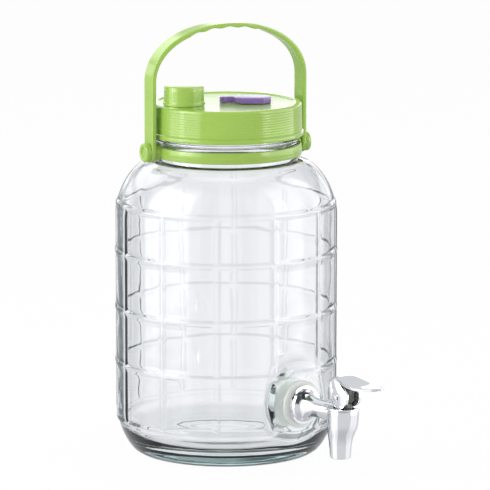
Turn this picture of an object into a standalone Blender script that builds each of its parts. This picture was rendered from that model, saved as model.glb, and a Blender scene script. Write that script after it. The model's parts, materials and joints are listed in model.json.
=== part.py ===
"""Glass fermentation jar with a screw lid, a pouring spout, a bail handle and a lever tap.

Metres, +Z up. The origin is on the jar's axis, at the plane that the jar stands on.
The tap points along -Y.
"""
import math

import bmesh
import bpy

# Clearances that every pair of neighbouring pieces shares
TOUCH_GAP = 0.0003
OVERRUN = 0.002
WELD_DISTANCE = 0.00001

# How finely round pieces are drawn
JAR_STEPS = 60
LID_STEPS = 48
SMALL_STEPS = 28
TINY_STEPS = 16
INNER_HEEL_STEPS = 3
PATH_STEPS = 2
ROUND_BAR_RESOLUTION = 2
SPRING_WIRE_RESOLUTION = 1
SOFTENED_ANGLE_DEGREES = 50
# Where the middle point of a rounded edge lies, as a share of its radius in from both faces
ROUND_MIDDLE_SHARE = 0.3

# Jar body, outside
BODY_RADIUS = 0.1014
STAND_RADIUS = 0.082
STAND_WIDTH = 0.006
PUSH_UP = 0.0015
HEEL_HEIGHT = 0.040
HEEL_ROUNDNESS = 1.5
SHOULDER_START = 0.222
SHOULDER_HEIGHT = 0.0485
SHOULDER_ROUNDNESS = 1.75
SHOULDER_TOP_RADIUS = 0.068
SHOULDER_POINT_SHARES = (1, 0.97, 0.87, 0.70, 0.47)
HEEL_POINT_SHARES = (0.42, 0.22, 0.08, 0)

# Raised net of round and upright ribs on the jar body
RIB_RING_HEIGHTS = (0.2319, 0.1876, 0.1351, 0.0845, 0.0316)
RIB_RING_RAISE = 0.0012
RIB_RING_HALF_WIDTH = 0.0032
RIB_RING_SHAPE_SHARES = ((1, 0), (0.32, 1), (-0.32, 1), (-1, 0))
RIB_BAR_COUNT = 12
RIB_BAR_RAISE = 0.0009
RIB_BAR_RADIUS = 0.0030

# Jar body, inside
WALL = 0.007
FLOOR = 0.011
FLOOR_CROWN = 0.002
FLOOR_BREAK_SHARE = 0.55
FLOOR_BREAK_CROWN_SHARE = 0.7
INNER_HEEL_WIDTH = 0.024
INNER_HEEL_HEIGHT = 0.021
NECK_WALL = 0.005
INNER_SHOULDER_POINT_SHARES = (0, 0.42, 0.70, 0.90, 1)

# Jar neck: seat of the collar, bead above the collar, and thread up to the rim
NECK_SEAT_RAISE = 0.0007
NECK_SEAT_RISE = 0.0015
BEAD_RAISE = 0.0019
BEAD_RISE = 0.0027
BEAD_HEIGHT = 0.0035
BEAD_EDGE_SHARE = 0.3
NECK_RADIUS = 0.0650
NECK_THREAD_HEIGHT = 0.0241
RIM_ROUND = 0.0015

# Flat round pad in the jar wall that the tap is fastened through
TAP_HEIGHT = 0.058
PAD_RADIUS = 0.0228
PAD_RAISE = 0.0022
PAD_INSIDE_RAISE = 0.0034
TAP_HOLE_CLEARANCE = 0.0004

# Neck collar with the two studs that carry the handle
COLLAR_WALL = 0.0035
COLLAR_RISE = 0.0053
COLLAR_HEIGHT = 0.0103
COLLAR_CHAMFER = 0.0006
PIVOT_RISE = 0.0060
HANDLE_TURN_DEGREES = -14.8
STUD_SPACER_RADIUS = 0.0078
STUD_RADIUS = 0.0050
STUD_BORE_RADIUS = 0.0028
STUD_BORE_DEPTH = 0.0070

# Bail handle
STRAP_WIDTH = 0.018
STRAP_THICKNESS = 0.0044
STRAP_CLEARANCE = 0.00278
STRAP_EYE_RADIUS = 0.0096
STRAP_EDGE_ROUND = 0.0008
ARCH_RISE = 0.0632
ARCH_HEIGHT = 0.0518
ARCH_ROUNDNESS = 2.13
ARCH_POINTS = 28
FINGER_WAVE_COUNT = 5
FINGER_WAVE_LENGTH = 0.0165
FINGER_WAVE_DEPTH = 0.0011
FINGER_WAVE_POINTS = 20

# Caps that close the handle's pivots
PIVOT_CAP_RADIUS = 0.0088
PIVOT_CAP_THICKNESS = 0.0050
PIVOT_CAP_DISH_RADIUS = 0.0052
PIVOT_CAP_DISH_DEPTH = 0.0012
PIVOT_CAP_ROUND = 0.0012
PIVOT_CAP_PEG_LENGTH = 0.0060

# Screw lid
LID_TOP_THICKNESS = 0.0025
LID_SKIRT_WALL = 0.0022
LID_THREAD_ROOM = 0.0022
LID_BEAD_GAP = 0.0016
LID_RIM_RAISE = 0.0012
LID_RIM_WIDTH = 0.0058
LID_RIM_ROUND = 0.0022
LID_RING_COUNT = 4
LID_RING_RAISE = 0.00018
LID_FLANGE_RAISE = 0.0010
LID_FLANGE_HEIGHT = 0.0042
GASKET_THICKNESS = 0.0016
GASKET_OVERHANG = 0.0008

# Pouring spout on the lid
SPOUT_OFFSET = 0.0500
SPOUT_BOSS_RADIUS = 0.0187
SPOUT_BOSS_RAISE = 0.0025
SPOUT_RADIUS = 0.0142
SPOUT_WALL = 0.0030
SPOUT_HEIGHT = 0.0160

# Screw cap on the pouring spout
CAP_HEIGHT = 0.0176
CAP_TOP_RADIUS = 0.0180
CAP_BOTTOM_RADIUS = 0.0184
CAP_FLANGE_RADIUS = 0.0191
CAP_FLANGE_HEIGHT = 0.0031
CAP_TOP_THICKNESS = 0.0022
CAP_WALL = 0.0024
CAP_ROUND = 0.0010
CAP_LINER_THICKNESS = 0.0015

# Vent plug in the lid: a thick eight-sided plate with a pull tab and a stem
VENT_ACROSS = 0.0173
VENT_ALONG = -0.0170
VENT_TURN_DEGREES = -40.4
VENT_HALF_WIDTH = 0.0168
VENT_HALF_DEPTH = 0.0126
VENT_CORNER = 0.0068
VENT_THICKNESS = 0.0056
VENT_EDGE_ROUND = 0.0007
VENT_NECK_LENGTH = 0.0060
VENT_NECK_HALF_WIDTH = 0.0026
VENT_TAB_LENGTH = 0.0074
VENT_TAB_HALF_WIDTH = 0.0044
VENT_TAB_TURN_DEGREES = 120
VENT_TAB_STEPS = 8
VENT_STEM_RADIUS = 0.0040
VENT_STEM_RISE = 0.0005

# Tap: the shank through the jar wall, with washers and nut
SHANK_RADIUS = 0.0081
SHANK_TAIL = 0.0190
SHANK_BORE_RADIUS = 0.0038
OUTER_WASHER_THICKNESS = 0.0035
OUTER_WASHER_RADIUS = 0.0216
INNER_WASHER_THICKNESS = 0.0025
INNER_WASHER_RADIUS = 0.0210
WASHER_BORE_CLEARANCE = 0.0005
NUT_FLANGE_RADIUS = 0.0208
NUT_FLANGE_THICKNESS = 0.0030
NUT_ACROSS_FLATS = 0.0300
NUT_LENGTH = 0.0100
NUT_SIDES = 6

# Tap: the bell between the wall and the barrel, as distances from its seat and radii
BELL_RADIUS = 0.0175
BELL_EDGE = 0.0026
BELL_LENGTH = 0.0380
BELL_NECK_RADIUS = 0.0080
BELL_SHAPE_SHARES = ((0.72, 0.07), (0.46, 0.14), (0.25, 0.24), (0.13, 0.37), (0.06, 0.53), (0.03, 0.75))
BELL_FACE_SHARES = ((1.0, 0.0), (0.93, 0.05), (0.80, 0.13))

# Tap: upright barrel, from above the tap's axis, that draws in to an outlet set nearer to the jar
BARREL_DISTANCE = 0.162
BARREL_RISE = 0.0043
BARREL_HEIGHT = 0.0449
BARREL_RADIUS = 0.0144
OUTLET_OFFSET = 0.0031
BARREL_SIDES = 28
# Shares of the barrel's height, of its radius and of the outlet's offset
BARREL_SHAPE_SHARES = ((1, 1, 0), (0.87, 1, 0), (0.70, 0.98, 0.16), (0.617, 0.95, 0.34), (0.53, 0.89, 0.63),
                       (0.445, 0.81, 0.81), (0.361, 0.755, 0.94), (0.25, 0.705, 1), (0, 0.65, 1))
OUTLET_BORE_RADIUS = 0.0070
CHAMBER_RADIUS = 0.0095
CHAMBER_DEPTH = 0.0203
SEAT_HEIGHT = 0.0048
SEAT_LEDGE = 0.0012
SEAT_HOLE_RADIUS = 0.0050

# Tap: bonnet, guide, stem, plug and spring
BONNET_RADIUS = 0.0152
BONNET_THICKNESS = 0.0018
BONNET_SPIGOT = 0.0018
BONNET_CHAMFER = 0.0005
STEM_RADIUS = 0.0030
GUIDE_BASE_RADIUS = 0.0093
GUIDE_TOP_RADIUS = 0.0080
GUIDE_HEIGHT = 0.0046
HEAD_RADIUS = 0.0107
HEAD_HEIGHT = 0.0129
HEAD_CHAMFER = 0.0016
HEAD_FLATS = 0.0120
STEM_IN_HEAD_SHARE = 0.6
PLUG_RISE = 0.0040
PLUG_TIP_RISE = 0.0008
PLUG_SOCKET_DEPTH = 0.0050
PLUG_TAPER_SHARE = 0.8
SPRING_RADIUS = 0.0055
SPRING_WIRE_RADIUS = 0.00055
SPRING_TURNS = 5
SPRING_POINTS_PER_TURN = 8

# Tap: lever, seen from the side as distances before and above its pin
SOLE_DROP = 0.0091
LEVER_PIN_RADIUS = 0.0015
PIN_HEAD_RADIUS = 0.0026
PIN_HEAD_THICKNESS = 0.0008
CHEEK_THICKNESS = 0.0026
PADDLE_LENGTH = 0.0625
PADDLE_REAR = 0.0098
PADDLE_RISE = 0.0192
PADDLE_THICKNESS = 0.0024
PADDLE_HALF_WIDTH = 0.0136
PADDLE_WAVE_SHARES = ((0, 0.70), (0.03, 0.85), (0.08, 0.955), (0.15, 1), (0.23, 0.975), (0.31, 0.92),
                      (0.40, 0.855), (0.50, 0.80), (0.59, 0.77), (0.71, 0.765), (0.86, 0.80), (1, 0.86))
PADDLE_PLAN_SHARES = ((0, 0.66), (0.06, 0.71), (0.15, 0.77), (0.25, 0.86), (0.34, 0.94), (0.46, 1),
                      (0.59, 0.985), (0.71, 0.87), (0.84, 0.66), (0.93, 0.44), (0.98, 0.24))
SOLE_REAR = 0.0010
CAM_LIFT_PER_RADIAN = 0.0045
CAM_TURN_DEGREES = 28
CAM_POINTS = 6
CHEEK_FRONT = 0.0148
CHEEK_REAR = 0.0116
CHEEK_REAR_DROP = 0.0030
# Cheek's upper edge, as shares of its front reach and of the paddle's rise
CHEEK_EDGE_SHARES = ((0.93, -0.19), (1, 0.03), (0.98, 0.26), (0.10, 0.88), (-0.11, 0.917), (-0.40, 0.86),
                     (-0.54, 0.75), (-0.60, 0.65), (-0.70, 0.41))

# Sizes and places that follow from the ones above
SHOULDER_TOP = SHOULDER_START + SHOULDER_HEIGHT
NECK_SEAT_BOTTOM = SHOULDER_TOP + NECK_SEAT_RISE
COLLAR_BOTTOM = SHOULDER_TOP + COLLAR_RISE
PIVOT_HEIGHT = COLLAR_BOTTOM + PIVOT_RISE
BEAD_BOTTOM = COLLAR_BOTTOM + COLLAR_HEIGHT + BEAD_RISE
BEAD_TOP = BEAD_BOTTOM + BEAD_HEIGHT
LID_BOTTOM = BEAD_TOP + LID_BEAD_GAP
RIM_HEIGHT = LID_BOTTOM + NECK_THREAD_HEIGHT
NECK_SEAT_RADIUS = NECK_RADIUS + NECK_SEAT_RAISE
BEAD_RADIUS = NECK_SEAT_RADIUS + BEAD_RAISE
RIM_INNER_RADIUS = NECK_RADIUS - NECK_WALL
GASKET_BOTTOM = RIM_HEIGHT + TOUCH_GAP
LID_UNDERSIDE = GASKET_BOTTOM + GASKET_THICKNESS + TOUCH_GAP
LID_TOP = LID_UNDERSIDE + LID_TOP_THICKNESS
LID_INNER_RADIUS = NECK_RADIUS + LID_THREAD_ROOM
LID_RADIUS = LID_INNER_RADIUS + LID_SKIRT_WALL
LID_FLANGE_RADIUS = LID_RADIUS + LID_RING_COUNT * LID_RING_RAISE + LID_FLANGE_RAISE
COLLAR_INNER_RADIUS = NECK_SEAT_RADIUS + TOUCH_GAP
COLLAR_RADIUS = COLLAR_INNER_RADIUS + COLLAR_WALL
STRAP_INNER_RADIUS = LID_FLANGE_RADIUS + STRAP_CLEARANCE
STRAP_OUTER_RADIUS = STRAP_INNER_RADIUS + STRAP_THICKNESS
STUD_TIP = STRAP_OUTER_RADIUS - TOUCH_GAP
SPOUT_TOP = LID_TOP + SPOUT_HEIGHT
CAP_BOTTOM = LID_TOP + SPOUT_BOSS_RAISE + TOUCH_GAP
CAP_TOP = CAP_BOTTOM + CAP_HEIGHT
PAD_FACE = BODY_RADIUS + PAD_RAISE
PAD_INSIDE_FACE = BODY_RADIUS - WALL - PAD_INSIDE_RAISE
OUTER_WASHER_SEAT = PAD_FACE + TOUCH_GAP
BELL_SEAT = OUTER_WASHER_SEAT + OUTER_WASHER_THICKNESS + TOUCH_GAP
INNER_WASHER_SEAT = PAD_INSIDE_FACE - TOUCH_GAP
NUT_SEAT = INNER_WASHER_SEAT - INNER_WASHER_THICKNESS - TOUCH_GAP
WASHER_BORE_RADIUS = SHANK_RADIUS + WASHER_BORE_CLEARANCE
BARREL_TOP = TAP_HEIGHT + BARREL_RISE
OUTLET_BOTTOM = BARREL_TOP - BARREL_HEIGHT
SEAT_TOP = BARREL_TOP - CHAMBER_DEPTH
SEAT_BOTTOM = SEAT_TOP - SEAT_HEIGHT
PLUG_TOP = SEAT_TOP + PLUG_RISE
PLUG_TIP_HEIGHT = SEAT_BOTTOM + PLUG_TIP_RISE
BONNET_BOTTOM = BARREL_TOP + TOUCH_GAP
BONNET_TOP = BONNET_BOTTOM + BONNET_THICKNESS
STEM_BORE_RADIUS = STEM_RADIUS + TOUCH_GAP
GUIDE_BOTTOM = BONNET_TOP + TOUCH_GAP
HEAD_BOTTOM = GUIDE_BOTTOM + GUIDE_HEIGHT + TOUCH_GAP
HEAD_TOP = HEAD_BOTTOM + HEAD_HEIGHT
STEM_TOP = HEAD_BOTTOM + HEAD_HEIGHT * STEM_IN_HEAD_SHARE
PIN_BORE_RADIUS = LEVER_PIN_RADIUS + TOUCH_GAP
CHEEK_INNER = HEAD_FLATS / 2 + TOUCH_GAP
CHEEK_OUTER = CHEEK_INNER + CHEEK_THICKNESS
LEVER_PIN_HEIGHT = BONNET_TOP + TOUCH_GAP + SOLE_DROP


def clear_scene():
    for item in list(bpy.data.objects):
        bpy.data.objects.remove(item, do_unlink=True)


def new_collection(name):
    collection = bpy.data.collections.new(name)
    bpy.context.scene.collection.children.link(collection)
    return collection


clear_scene()
PIECES = new_collection("FermentationJar")
CUTTERS = new_collection("Cutters")


def new_material(name, colour, roughness, metallic=0.0, transmission=0.0):
    material = bpy.data.materials.new(name)
    material.use_nodes = True
    material.diffuse_color = (*colour, 1.0)
    shader = material.node_tree.nodes["Principled BSDF"]
    shader.inputs["Base Color"].default_value = (*colour, 1.0)
    shader.inputs["Roughness"].default_value = roughness
    shader.inputs["Metallic"].default_value = metallic
    shader.inputs["Transmission Weight"].default_value = transmission
    return material


def clear_glass():
    return new_material("ClearGlass", (0.86, 0.93, 0.92), 0.03, transmission=1.0)


def green_plastic():
    return new_material("GreenPlastic", (0.42, 0.62, 0.14), 0.18)


def purple_plastic():
    return new_material("PurplePlastic", (0.22, 0.10, 0.45), 0.25)


def chrome():
    return new_material("Chrome", (0.86, 0.87, 0.89), 0.06, metallic=1.0)


def black_plastic():
    return new_material("BlackPlastic", (0.045, 0.045, 0.045), 0.35)


def white_plastic():
    return new_material("WhitePlastic", (0.86, 0.87, 0.85), 0.4)


def milky_silicone():
    return new_material("MilkySilicone", (0.80, 0.82, 0.80), 0.55)


def steel():
    return new_material("Steel", (0.62, 0.63, 0.65), 0.2, metallic=1.0)


def new_frame(name, location, rotation=(0, 0, 0), parent=None):
    """Return an empty that carries pieces placed in its own axes."""
    frame = bpy.data.objects.new(name, None)
    frame.location = location
    frame.rotation_euler = [math.radians(angle) for angle in rotation]
    frame.parent = parent
    PIECES.objects.link(frame)
    return frame


def place(piece, material=None, parent=None, location=(0, 0, 0), rotation=(0, 0, 0)):
    """Put a piece among the parts, or among the cutters where it has no material."""
    piece.parent = parent
    piece.location = location
    piece.rotation_euler = [math.radians(angle) for angle in rotation]
    if material is None:
        piece.hide_render = True
        piece.display_type = "WIRE"
        CUTTERS.objects.link(piece)
    else:
        piece.data.materials.append(material)
        PIECES.objects.link(piece)
    return piece


def turned(name, profile, steps, closed=False):
    """Return a piece turned about Z from (radius, height) points that run down its outer side."""
    count = len(profile)
    edges = [(index, index + 1) for index in range(count - 1)]
    if closed:
        edges.append((count - 1, 0))
    mesh = bpy.data.meshes.new(name)
    mesh.from_pydata([(radius, 0, height) for radius, height in profile], edges, [])
    piece = bpy.data.objects.new(name, mesh)
    screw = piece.modifiers.new("Turn", "SCREW")
    screw.steps = steps
    screw.render_steps = steps
    screw.use_merge_vertices = True
    screw.merge_threshold = WELD_DISTANCE
    screw.use_smooth_shade = True
    return piece


def rod(name, radius, bottom, top, steps):
    """Return a plain turned rod between two heights."""
    return turned(name, [(0, top), (radius, top), (radius, bottom), (0, bottom)], steps)


def ring(name, inner_radius, outer_radius, bottom, top, steps):
    """Return a plain turned ring between two heights."""
    profile = [(inner_radius, top), (outer_radius, top), (outer_radius, bottom), (inner_radius, bottom)]
    return turned(name, profile, steps, closed=True)


def combine(piece, other, operation):
    """Join, cut or intersect a piece with another by a Boolean modifier."""
    modifier = piece.modifiers.new(operation.title(), "BOOLEAN")
    modifier.operation = operation
    modifier.object = other
    return piece


def join(piece, other):
    return combine(piece, other, "UNION")


def cut(piece, other):
    return combine(piece, other, "DIFFERENCE")


def soften(piece, width, segments=2):
    """Round the sharp edges of a piece."""
    bevel = piece.modifiers.new("Rounded edges", "BEVEL")
    bevel.width = width
    bevel.segments = segments
    bevel.limit_method = "ANGLE"
    bevel.angle_limit = math.radians(SOFTENED_ANGLE_DEGREES)
    bevel.use_clamp_overlap = True
    return piece


def curve_to_mesh(curve_object):
    """Return a mesh object made from a curve, in the curve's place, with its caps welded."""
    bpy.context.view_layer.update()
    graph = bpy.context.evaluated_depsgraph_get()
    mesh = bpy.data.meshes.new_from_object(curve_object.evaluated_get(graph))
    welded = bmesh.new()
    welded.from_mesh(mesh)
    bmesh.ops.remove_doubles(welded, verts=welded.verts, dist=WELD_DISTANCE)
    welded.to_mesh(mesh)
    welded.free()
    mesh.materials.clear()
    name = curve_object.name
    piece = bpy.data.objects.new(name + "Mesh", mesh)
    bpy.data.objects.remove(curve_object, do_unlink=True)
    piece.name = name
    return piece


def extruded(name, points, thickness):
    """Return a flat outline in XY made solid to both sides of its plane."""
    curve = bpy.data.curves.new(name, "CURVE")
    curve.dimensions = "2D"
    curve.fill_mode = "BOTH"
    curve.extrude = thickness / 2
    spline = curve.splines.new("POLY")
    spline.points.add(len(points) - 1)
    for point, (across, along) in zip(spline.points, points):
        point.co = (across, along, 0, 1)
    spline.use_cyclic_u = True
    outline = bpy.data.objects.new(name, curve)
    CUTTERS.objects.link(outline)
    return curve_to_mesh(outline)


def smooth_path(points, steps):
    """Return points on a smooth curve through the given ones, steps to each stretch."""
    ends = [points[0]] + list(points) + [points[-1]]
    path = []
    for first, start, end, last in zip(ends, ends[1:], ends[2:], ends[3:]):
        for step in range(steps):
            share = step / steps
            weights = ((-share + 2 * share ** 2 - share ** 3) / 2,
                       (2 - 5 * share ** 2 + 3 * share ** 3) / 2,
                       (share + 4 * share ** 2 - 3 * share ** 3) / 2,
                       (-share ** 2 + share ** 3) / 2)
            corners = (first, start, end, last)
            path.append(tuple(sum(weight * corner[axis] for weight, corner in zip(weights, corners))
                              for axis in range(2)))
    path.append(tuple(points[-1]))
    return path


def swell(share, roundness):
    """Height of a rounded quarter curve of unit size at a share of its length."""
    return (1 - min(share, 1) ** roundness) ** (1 / roundness)


def body_radius(height):
    """Radius of the jar's outside between its ribs."""
    if height < HEEL_HEIGHT:
        share = swell(1 - height / HEEL_HEIGHT, HEEL_ROUNDNESS)
        return STAND_RADIUS + (BODY_RADIUS - STAND_RADIUS) * share
    if height > SHOULDER_START:
        share = swell((height - SHOULDER_START) / SHOULDER_HEIGHT, SHOULDER_ROUNDNESS)
        return SHOULDER_TOP_RADIUS + (BODY_RADIUS - SHOULDER_TOP_RADIUS) * share
    return BODY_RADIUS


def body_heights():
    """Heights, from the top down, at which the jar's outside profile has a point."""
    shoulder = [SHOULDER_START + SHOULDER_HEIGHT * share for share in SHOULDER_POINT_SHARES]
    heel = [HEEL_HEIGHT * share for share in HEEL_POINT_SHARES]
    rings = [(centre + side * RIB_RING_HALF_WIDTH, raised * RIB_RING_RAISE)
             for centre in RIB_RING_HEIGHTS for side, raised in RIB_RING_SHAPE_SHARES]
    plain = [(height, 0) for height in shoulder + heel]
    return sorted(plain + rings, reverse=True)


def jar_outside():
    """Profile of the jar's outside from its rim down to the centre of its base."""
    neck = [(NECK_RADIUS - RIM_ROUND, RIM_HEIGHT),
            (NECK_RADIUS, RIM_HEIGHT - RIM_ROUND),
            (NECK_RADIUS, BEAD_TOP),
            (BEAD_RADIUS, BEAD_TOP - BEAD_HEIGHT * BEAD_EDGE_SHARE),
            (BEAD_RADIUS, BEAD_BOTTOM + BEAD_HEIGHT * BEAD_EDGE_SHARE),
            (NECK_SEAT_RADIUS, BEAD_BOTTOM),
            (NECK_SEAT_RADIUS, NECK_SEAT_BOTTOM)]
    body = [(body_radius(height) + raised, height) for height, raised in body_heights()]
    base = [(STAND_RADIUS - STAND_WIDTH, 0),
            (STAND_RADIUS - STAND_WIDTH - PUSH_UP, PUSH_UP),
            (0, PUSH_UP)]
    return neck + body + base


def jar_inside():
    """Profile of the jar's inside from the centre of its floor up to its rim."""
    wall_radius = BODY_RADIUS - WALL
    floor_radius = wall_radius - INNER_HEEL_WIDTH
    turns = [math.pi / 2 * step / INNER_HEEL_STEPS for step in range(INNER_HEEL_STEPS + 1)]
    heel = [(floor_radius + INNER_HEEL_WIDTH * math.sin(turn), FLOOR + INNER_HEEL_HEIGHT * (1 - math.cos(turn)))
            for turn in turns]
    shoulder = [(RIM_INNER_RADIUS + (wall_radius - RIM_INNER_RADIUS) * swell(share, SHOULDER_ROUNDNESS),
                 SHOULDER_START + SHOULDER_HEIGHT * share)
                for share in INNER_SHOULDER_POINT_SHARES]
    floor = [(0, FLOOR + FLOOR_CROWN),
             (floor_radius * FLOOR_BREAK_SHARE, FLOOR + FLOOR_CROWN * FLOOR_BREAK_CROWN_SHARE)]
    rim = [(RIM_INNER_RADIUS, RIM_HEIGHT - RIM_ROUND), (RIM_INNER_RADIUS + RIM_ROUND, RIM_HEIGHT)]
    return floor + heel + shoulder + rim


def rib_bars():
    """Return the upright ribs, sunk in the wall, as one cutter-side mesh."""
    heights = (RIB_RING_HEIGHTS[-1], HEEL_HEIGHT, SHOULDER_START, RIB_RING_HEIGHTS[0])
    curve = bpy.data.curves.new("RibBars", "CURVE")
    curve.dimensions = "3D"
    curve.bevel_depth = RIB_BAR_RADIUS
    curve.bevel_resolution = ROUND_BAR_RESOLUTION
    curve.use_fill_caps = True
    for bar in range(RIB_BAR_COUNT):
        angle = 2 * math.pi * (bar + 0.5) / RIB_BAR_COUNT
        spline = curve.splines.new("POLY")
        spline.points.add(len(heights) - 1)
        for point, height in zip(spline.points, heights):
            radius = body_radius(height) + RIB_BAR_RAISE - RIB_BAR_RADIUS
            point.co = (radius * math.sin(angle), radius * math.cos(angle), height, 1)
    bars = bpy.data.objects.new("RibBars", curve)
    CUTTERS.objects.link(bars)
    return place(curve_to_mesh(bars))


def make_jar(tap_frame, glass):
    jar = place(turned("glass_jar", jar_inside() + jar_outside(), JAR_STEPS), glass)
    join(jar, rib_bars())
    pad = rod("WallPad", PAD_RADIUS, PAD_INSIDE_FACE, PAD_FACE, SMALL_STEPS)
    join(jar, place(pad, parent=tap_frame))
    hole = rod("TapHole", SHANK_RADIUS + TAP_HOLE_CLEARANCE, PAD_INSIDE_FACE - OVERRUN,
               PAD_FACE + OVERRUN, SMALL_STEPS)
    return cut(jar, place(hole, parent=tap_frame))


def make_collar(collar_frame, plastic):
    bottom = COLLAR_BOTTOM - PIVOT_HEIGHT
    top = bottom + COLLAR_HEIGHT
    profile = [(COLLAR_INNER_RADIUS, top), (COLLAR_RADIUS - COLLAR_CHAMFER, top),
               (COLLAR_RADIUS, top - COLLAR_CHAMFER), (COLLAR_RADIUS, bottom + COLLAR_CHAMFER),
               (COLLAR_RADIUS - COLLAR_CHAMFER, bottom), (COLLAR_INNER_RADIUS, bottom)]
    collar = place(turned("neck_collar", profile, LID_STEPS, closed=True), plastic, collar_frame)
    root = COLLAR_RADIUS - COLLAR_WALL / 2
    seat = STRAP_INNER_RADIUS - TOUCH_GAP
    for side, turn in (("Left", -90), ("Right", 90)):
        stud = turned("Stud" + side, [(0, STUD_TIP), (STUD_RADIUS, STUD_TIP), (STUD_RADIUS, seat),
                                      (STUD_SPACER_RADIUS, seat), (STUD_SPACER_RADIUS, root), (0, root)],
                      TINY_STEPS)
        join(collar, place(stud, parent=collar_frame, rotation=(0, turn, 0)))
        bore = rod("StudBore" + side, STUD_BORE_RADIUS, STUD_TIP - STUD_BORE_DEPTH, STUD_TIP + OVERRUN,
                   TINY_STEPS)
        cut(collar, place(bore, parent=collar_frame, rotation=(0, turn, 0)))
    return collar


def arch_curve(half_span, rise, start_angle, end_angle):
    """Points of a rounded arch over the pivots, from one side to the other."""
    points = []
    for index in range(ARCH_POINTS + 1):
        angle = start_angle + (end_angle - start_angle) * index / ARCH_POINTS
        across = abs(math.cos(angle)) ** (2 / ARCH_ROUNDNESS) * math.copysign(1, math.cos(angle))
        points.append((half_span * across, rise * abs(math.sin(angle)) ** (2 / ARCH_ROUNDNESS)))
    return points


def finger_wave(across):
    """How far the grip's underside is drawn in at a place along the handle."""
    half_length = FINGER_WAVE_COUNT * FINGER_WAVE_LENGTH / 2
    if abs(across) > half_length:
        return 0
    turn = 2 * math.pi * (across + half_length) / FINGER_WAVE_LENGTH
    return FINGER_WAVE_DEPTH * (1 - math.cos(turn)) / 2


def strap_outline():
    """Side view of the handle: the outer arch one way, then the inner arch back."""
    outer = arch_curve(STRAP_OUTER_RADIUS, ARCH_HEIGHT, 0, math.pi)
    inner_rise = ARCH_HEIGHT - STRAP_THICKNESS
    half_grip = FINGER_WAVE_COUNT * FINGER_WAVE_LENGTH / 2
    plain = [point for point in arch_curve(STRAP_INNER_RADIUS, inner_rise, math.pi, 0)
             if abs(point[0]) > half_grip]
    grip = []
    for index in range(FINGER_WAVE_POINTS + 1):
        across = -half_grip + 2 * half_grip * index / FINGER_WAVE_POINTS
        arch = inner_rise * swell(abs(across) / STRAP_INNER_RADIUS, ARCH_ROUNDNESS)
        grip.append((across, arch + finger_wave(across)))
    left = [point for point in plain if point[0] < 0]
    right = [point for point in plain if point[0] > 0]
    inner = left + grip + right
    raised = [(across, ARCH_RISE + height) for across, height in outer]
    lowered = [(across, ARCH_RISE + height) for across, height in inner]
    return ([(STRAP_OUTER_RADIUS, 0)] + raised + [(-STRAP_OUTER_RADIUS, 0), (-STRAP_INNER_RADIUS, 0)]
            + lowered + [(STRAP_INNER_RADIUS, 0)])


def make_handle(handle_frame, plastic):
    handle = place(soften(extruded("bail_handle", strap_outline(), STRAP_WIDTH), STRAP_EDGE_ROUND),
                   plastic, handle_frame, rotation=(90, 0, 0))
    for side, turn in (("Left", -90), ("Right", 90)):
        eye = rod("StrapEye" + side, STRAP_EYE_RADIUS, STRAP_INNER_RADIUS, STRAP_OUTER_RADIUS, SMALL_STEPS)
        join(handle, place(eye, parent=handle_frame, rotation=(0, turn, 0)))
        hole = rod("StrapHole" + side, STUD_RADIUS + TOUCH_GAP, STRAP_INNER_RADIUS - OVERRUN,
                   STRAP_OUTER_RADIUS + OVERRUN, TINY_STEPS)
        cut(handle, place(hole, parent=handle_frame, rotation=(0, turn, 0)))
    return handle


def make_pivot_cap(collar_frame, name, turn, plastic):
    seat = STRAP_OUTER_RADIUS + TOUCH_GAP
    face = seat + PIVOT_CAP_THICKNESS
    peg_radius = STUD_BORE_RADIUS - TOUCH_GAP
    profile = [(0, face - PIVOT_CAP_DISH_DEPTH),
               (PIVOT_CAP_DISH_RADIUS - PIVOT_CAP_DISH_DEPTH, face - PIVOT_CAP_DISH_DEPTH),
               (PIVOT_CAP_DISH_RADIUS, face),
               (PIVOT_CAP_RADIUS - PIVOT_CAP_ROUND, face),
               (PIVOT_CAP_RADIUS, face - PIVOT_CAP_ROUND),
               (PIVOT_CAP_RADIUS, seat),
               (peg_radius, seat),
               (peg_radius, seat - PIVOT_CAP_PEG_LENGTH),
               (0, seat - PIVOT_CAP_PEG_LENGTH)]
    return place(turned(name, profile, TINY_STEPS), plastic, collar_frame, rotation=(0, turn, 0))


def lid_profile():
    """Lid from the centre of its top, down its skirt, and back to the centre of its underside."""
    rim_top = LID_TOP + LID_RIM_RAISE
    skirt_top = rim_top - LID_RIM_ROUND
    flange_top = LID_BOTTOM + LID_FLANGE_HEIGHT
    top = [(0, LID_TOP),
           (LID_RADIUS - LID_RIM_WIDTH - LID_RIM_RAISE, LID_TOP),
           (LID_RADIUS - LID_RIM_WIDTH, rim_top),
           (LID_RADIUS - LID_RIM_ROUND, rim_top),
           (LID_RADIUS - LID_RIM_ROUND * ROUND_MIDDLE_SHARE, rim_top - LID_RIM_ROUND * ROUND_MIDDLE_SHARE)]
    skirt = []
    step = (skirt_top - flange_top) / (LID_RING_COUNT + 1)
    for index in range(LID_RING_COUNT + 1):
        radius = LID_RADIUS + index * LID_RING_RAISE
        skirt.append((radius, skirt_top - index * step))
        skirt.append((radius, skirt_top - (index + 1) * step + LID_RING_RAISE))
    flange = [(LID_FLANGE_RADIUS, flange_top - LID_FLANGE_RAISE), (LID_FLANGE_RADIUS, LID_BOTTOM)]
    inside = [(LID_INNER_RADIUS, LID_BOTTOM), (LID_INNER_RADIUS, LID_UNDERSIDE), (0, LID_UNDERSIDE)]
    return top + skirt + flange + inside


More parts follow.
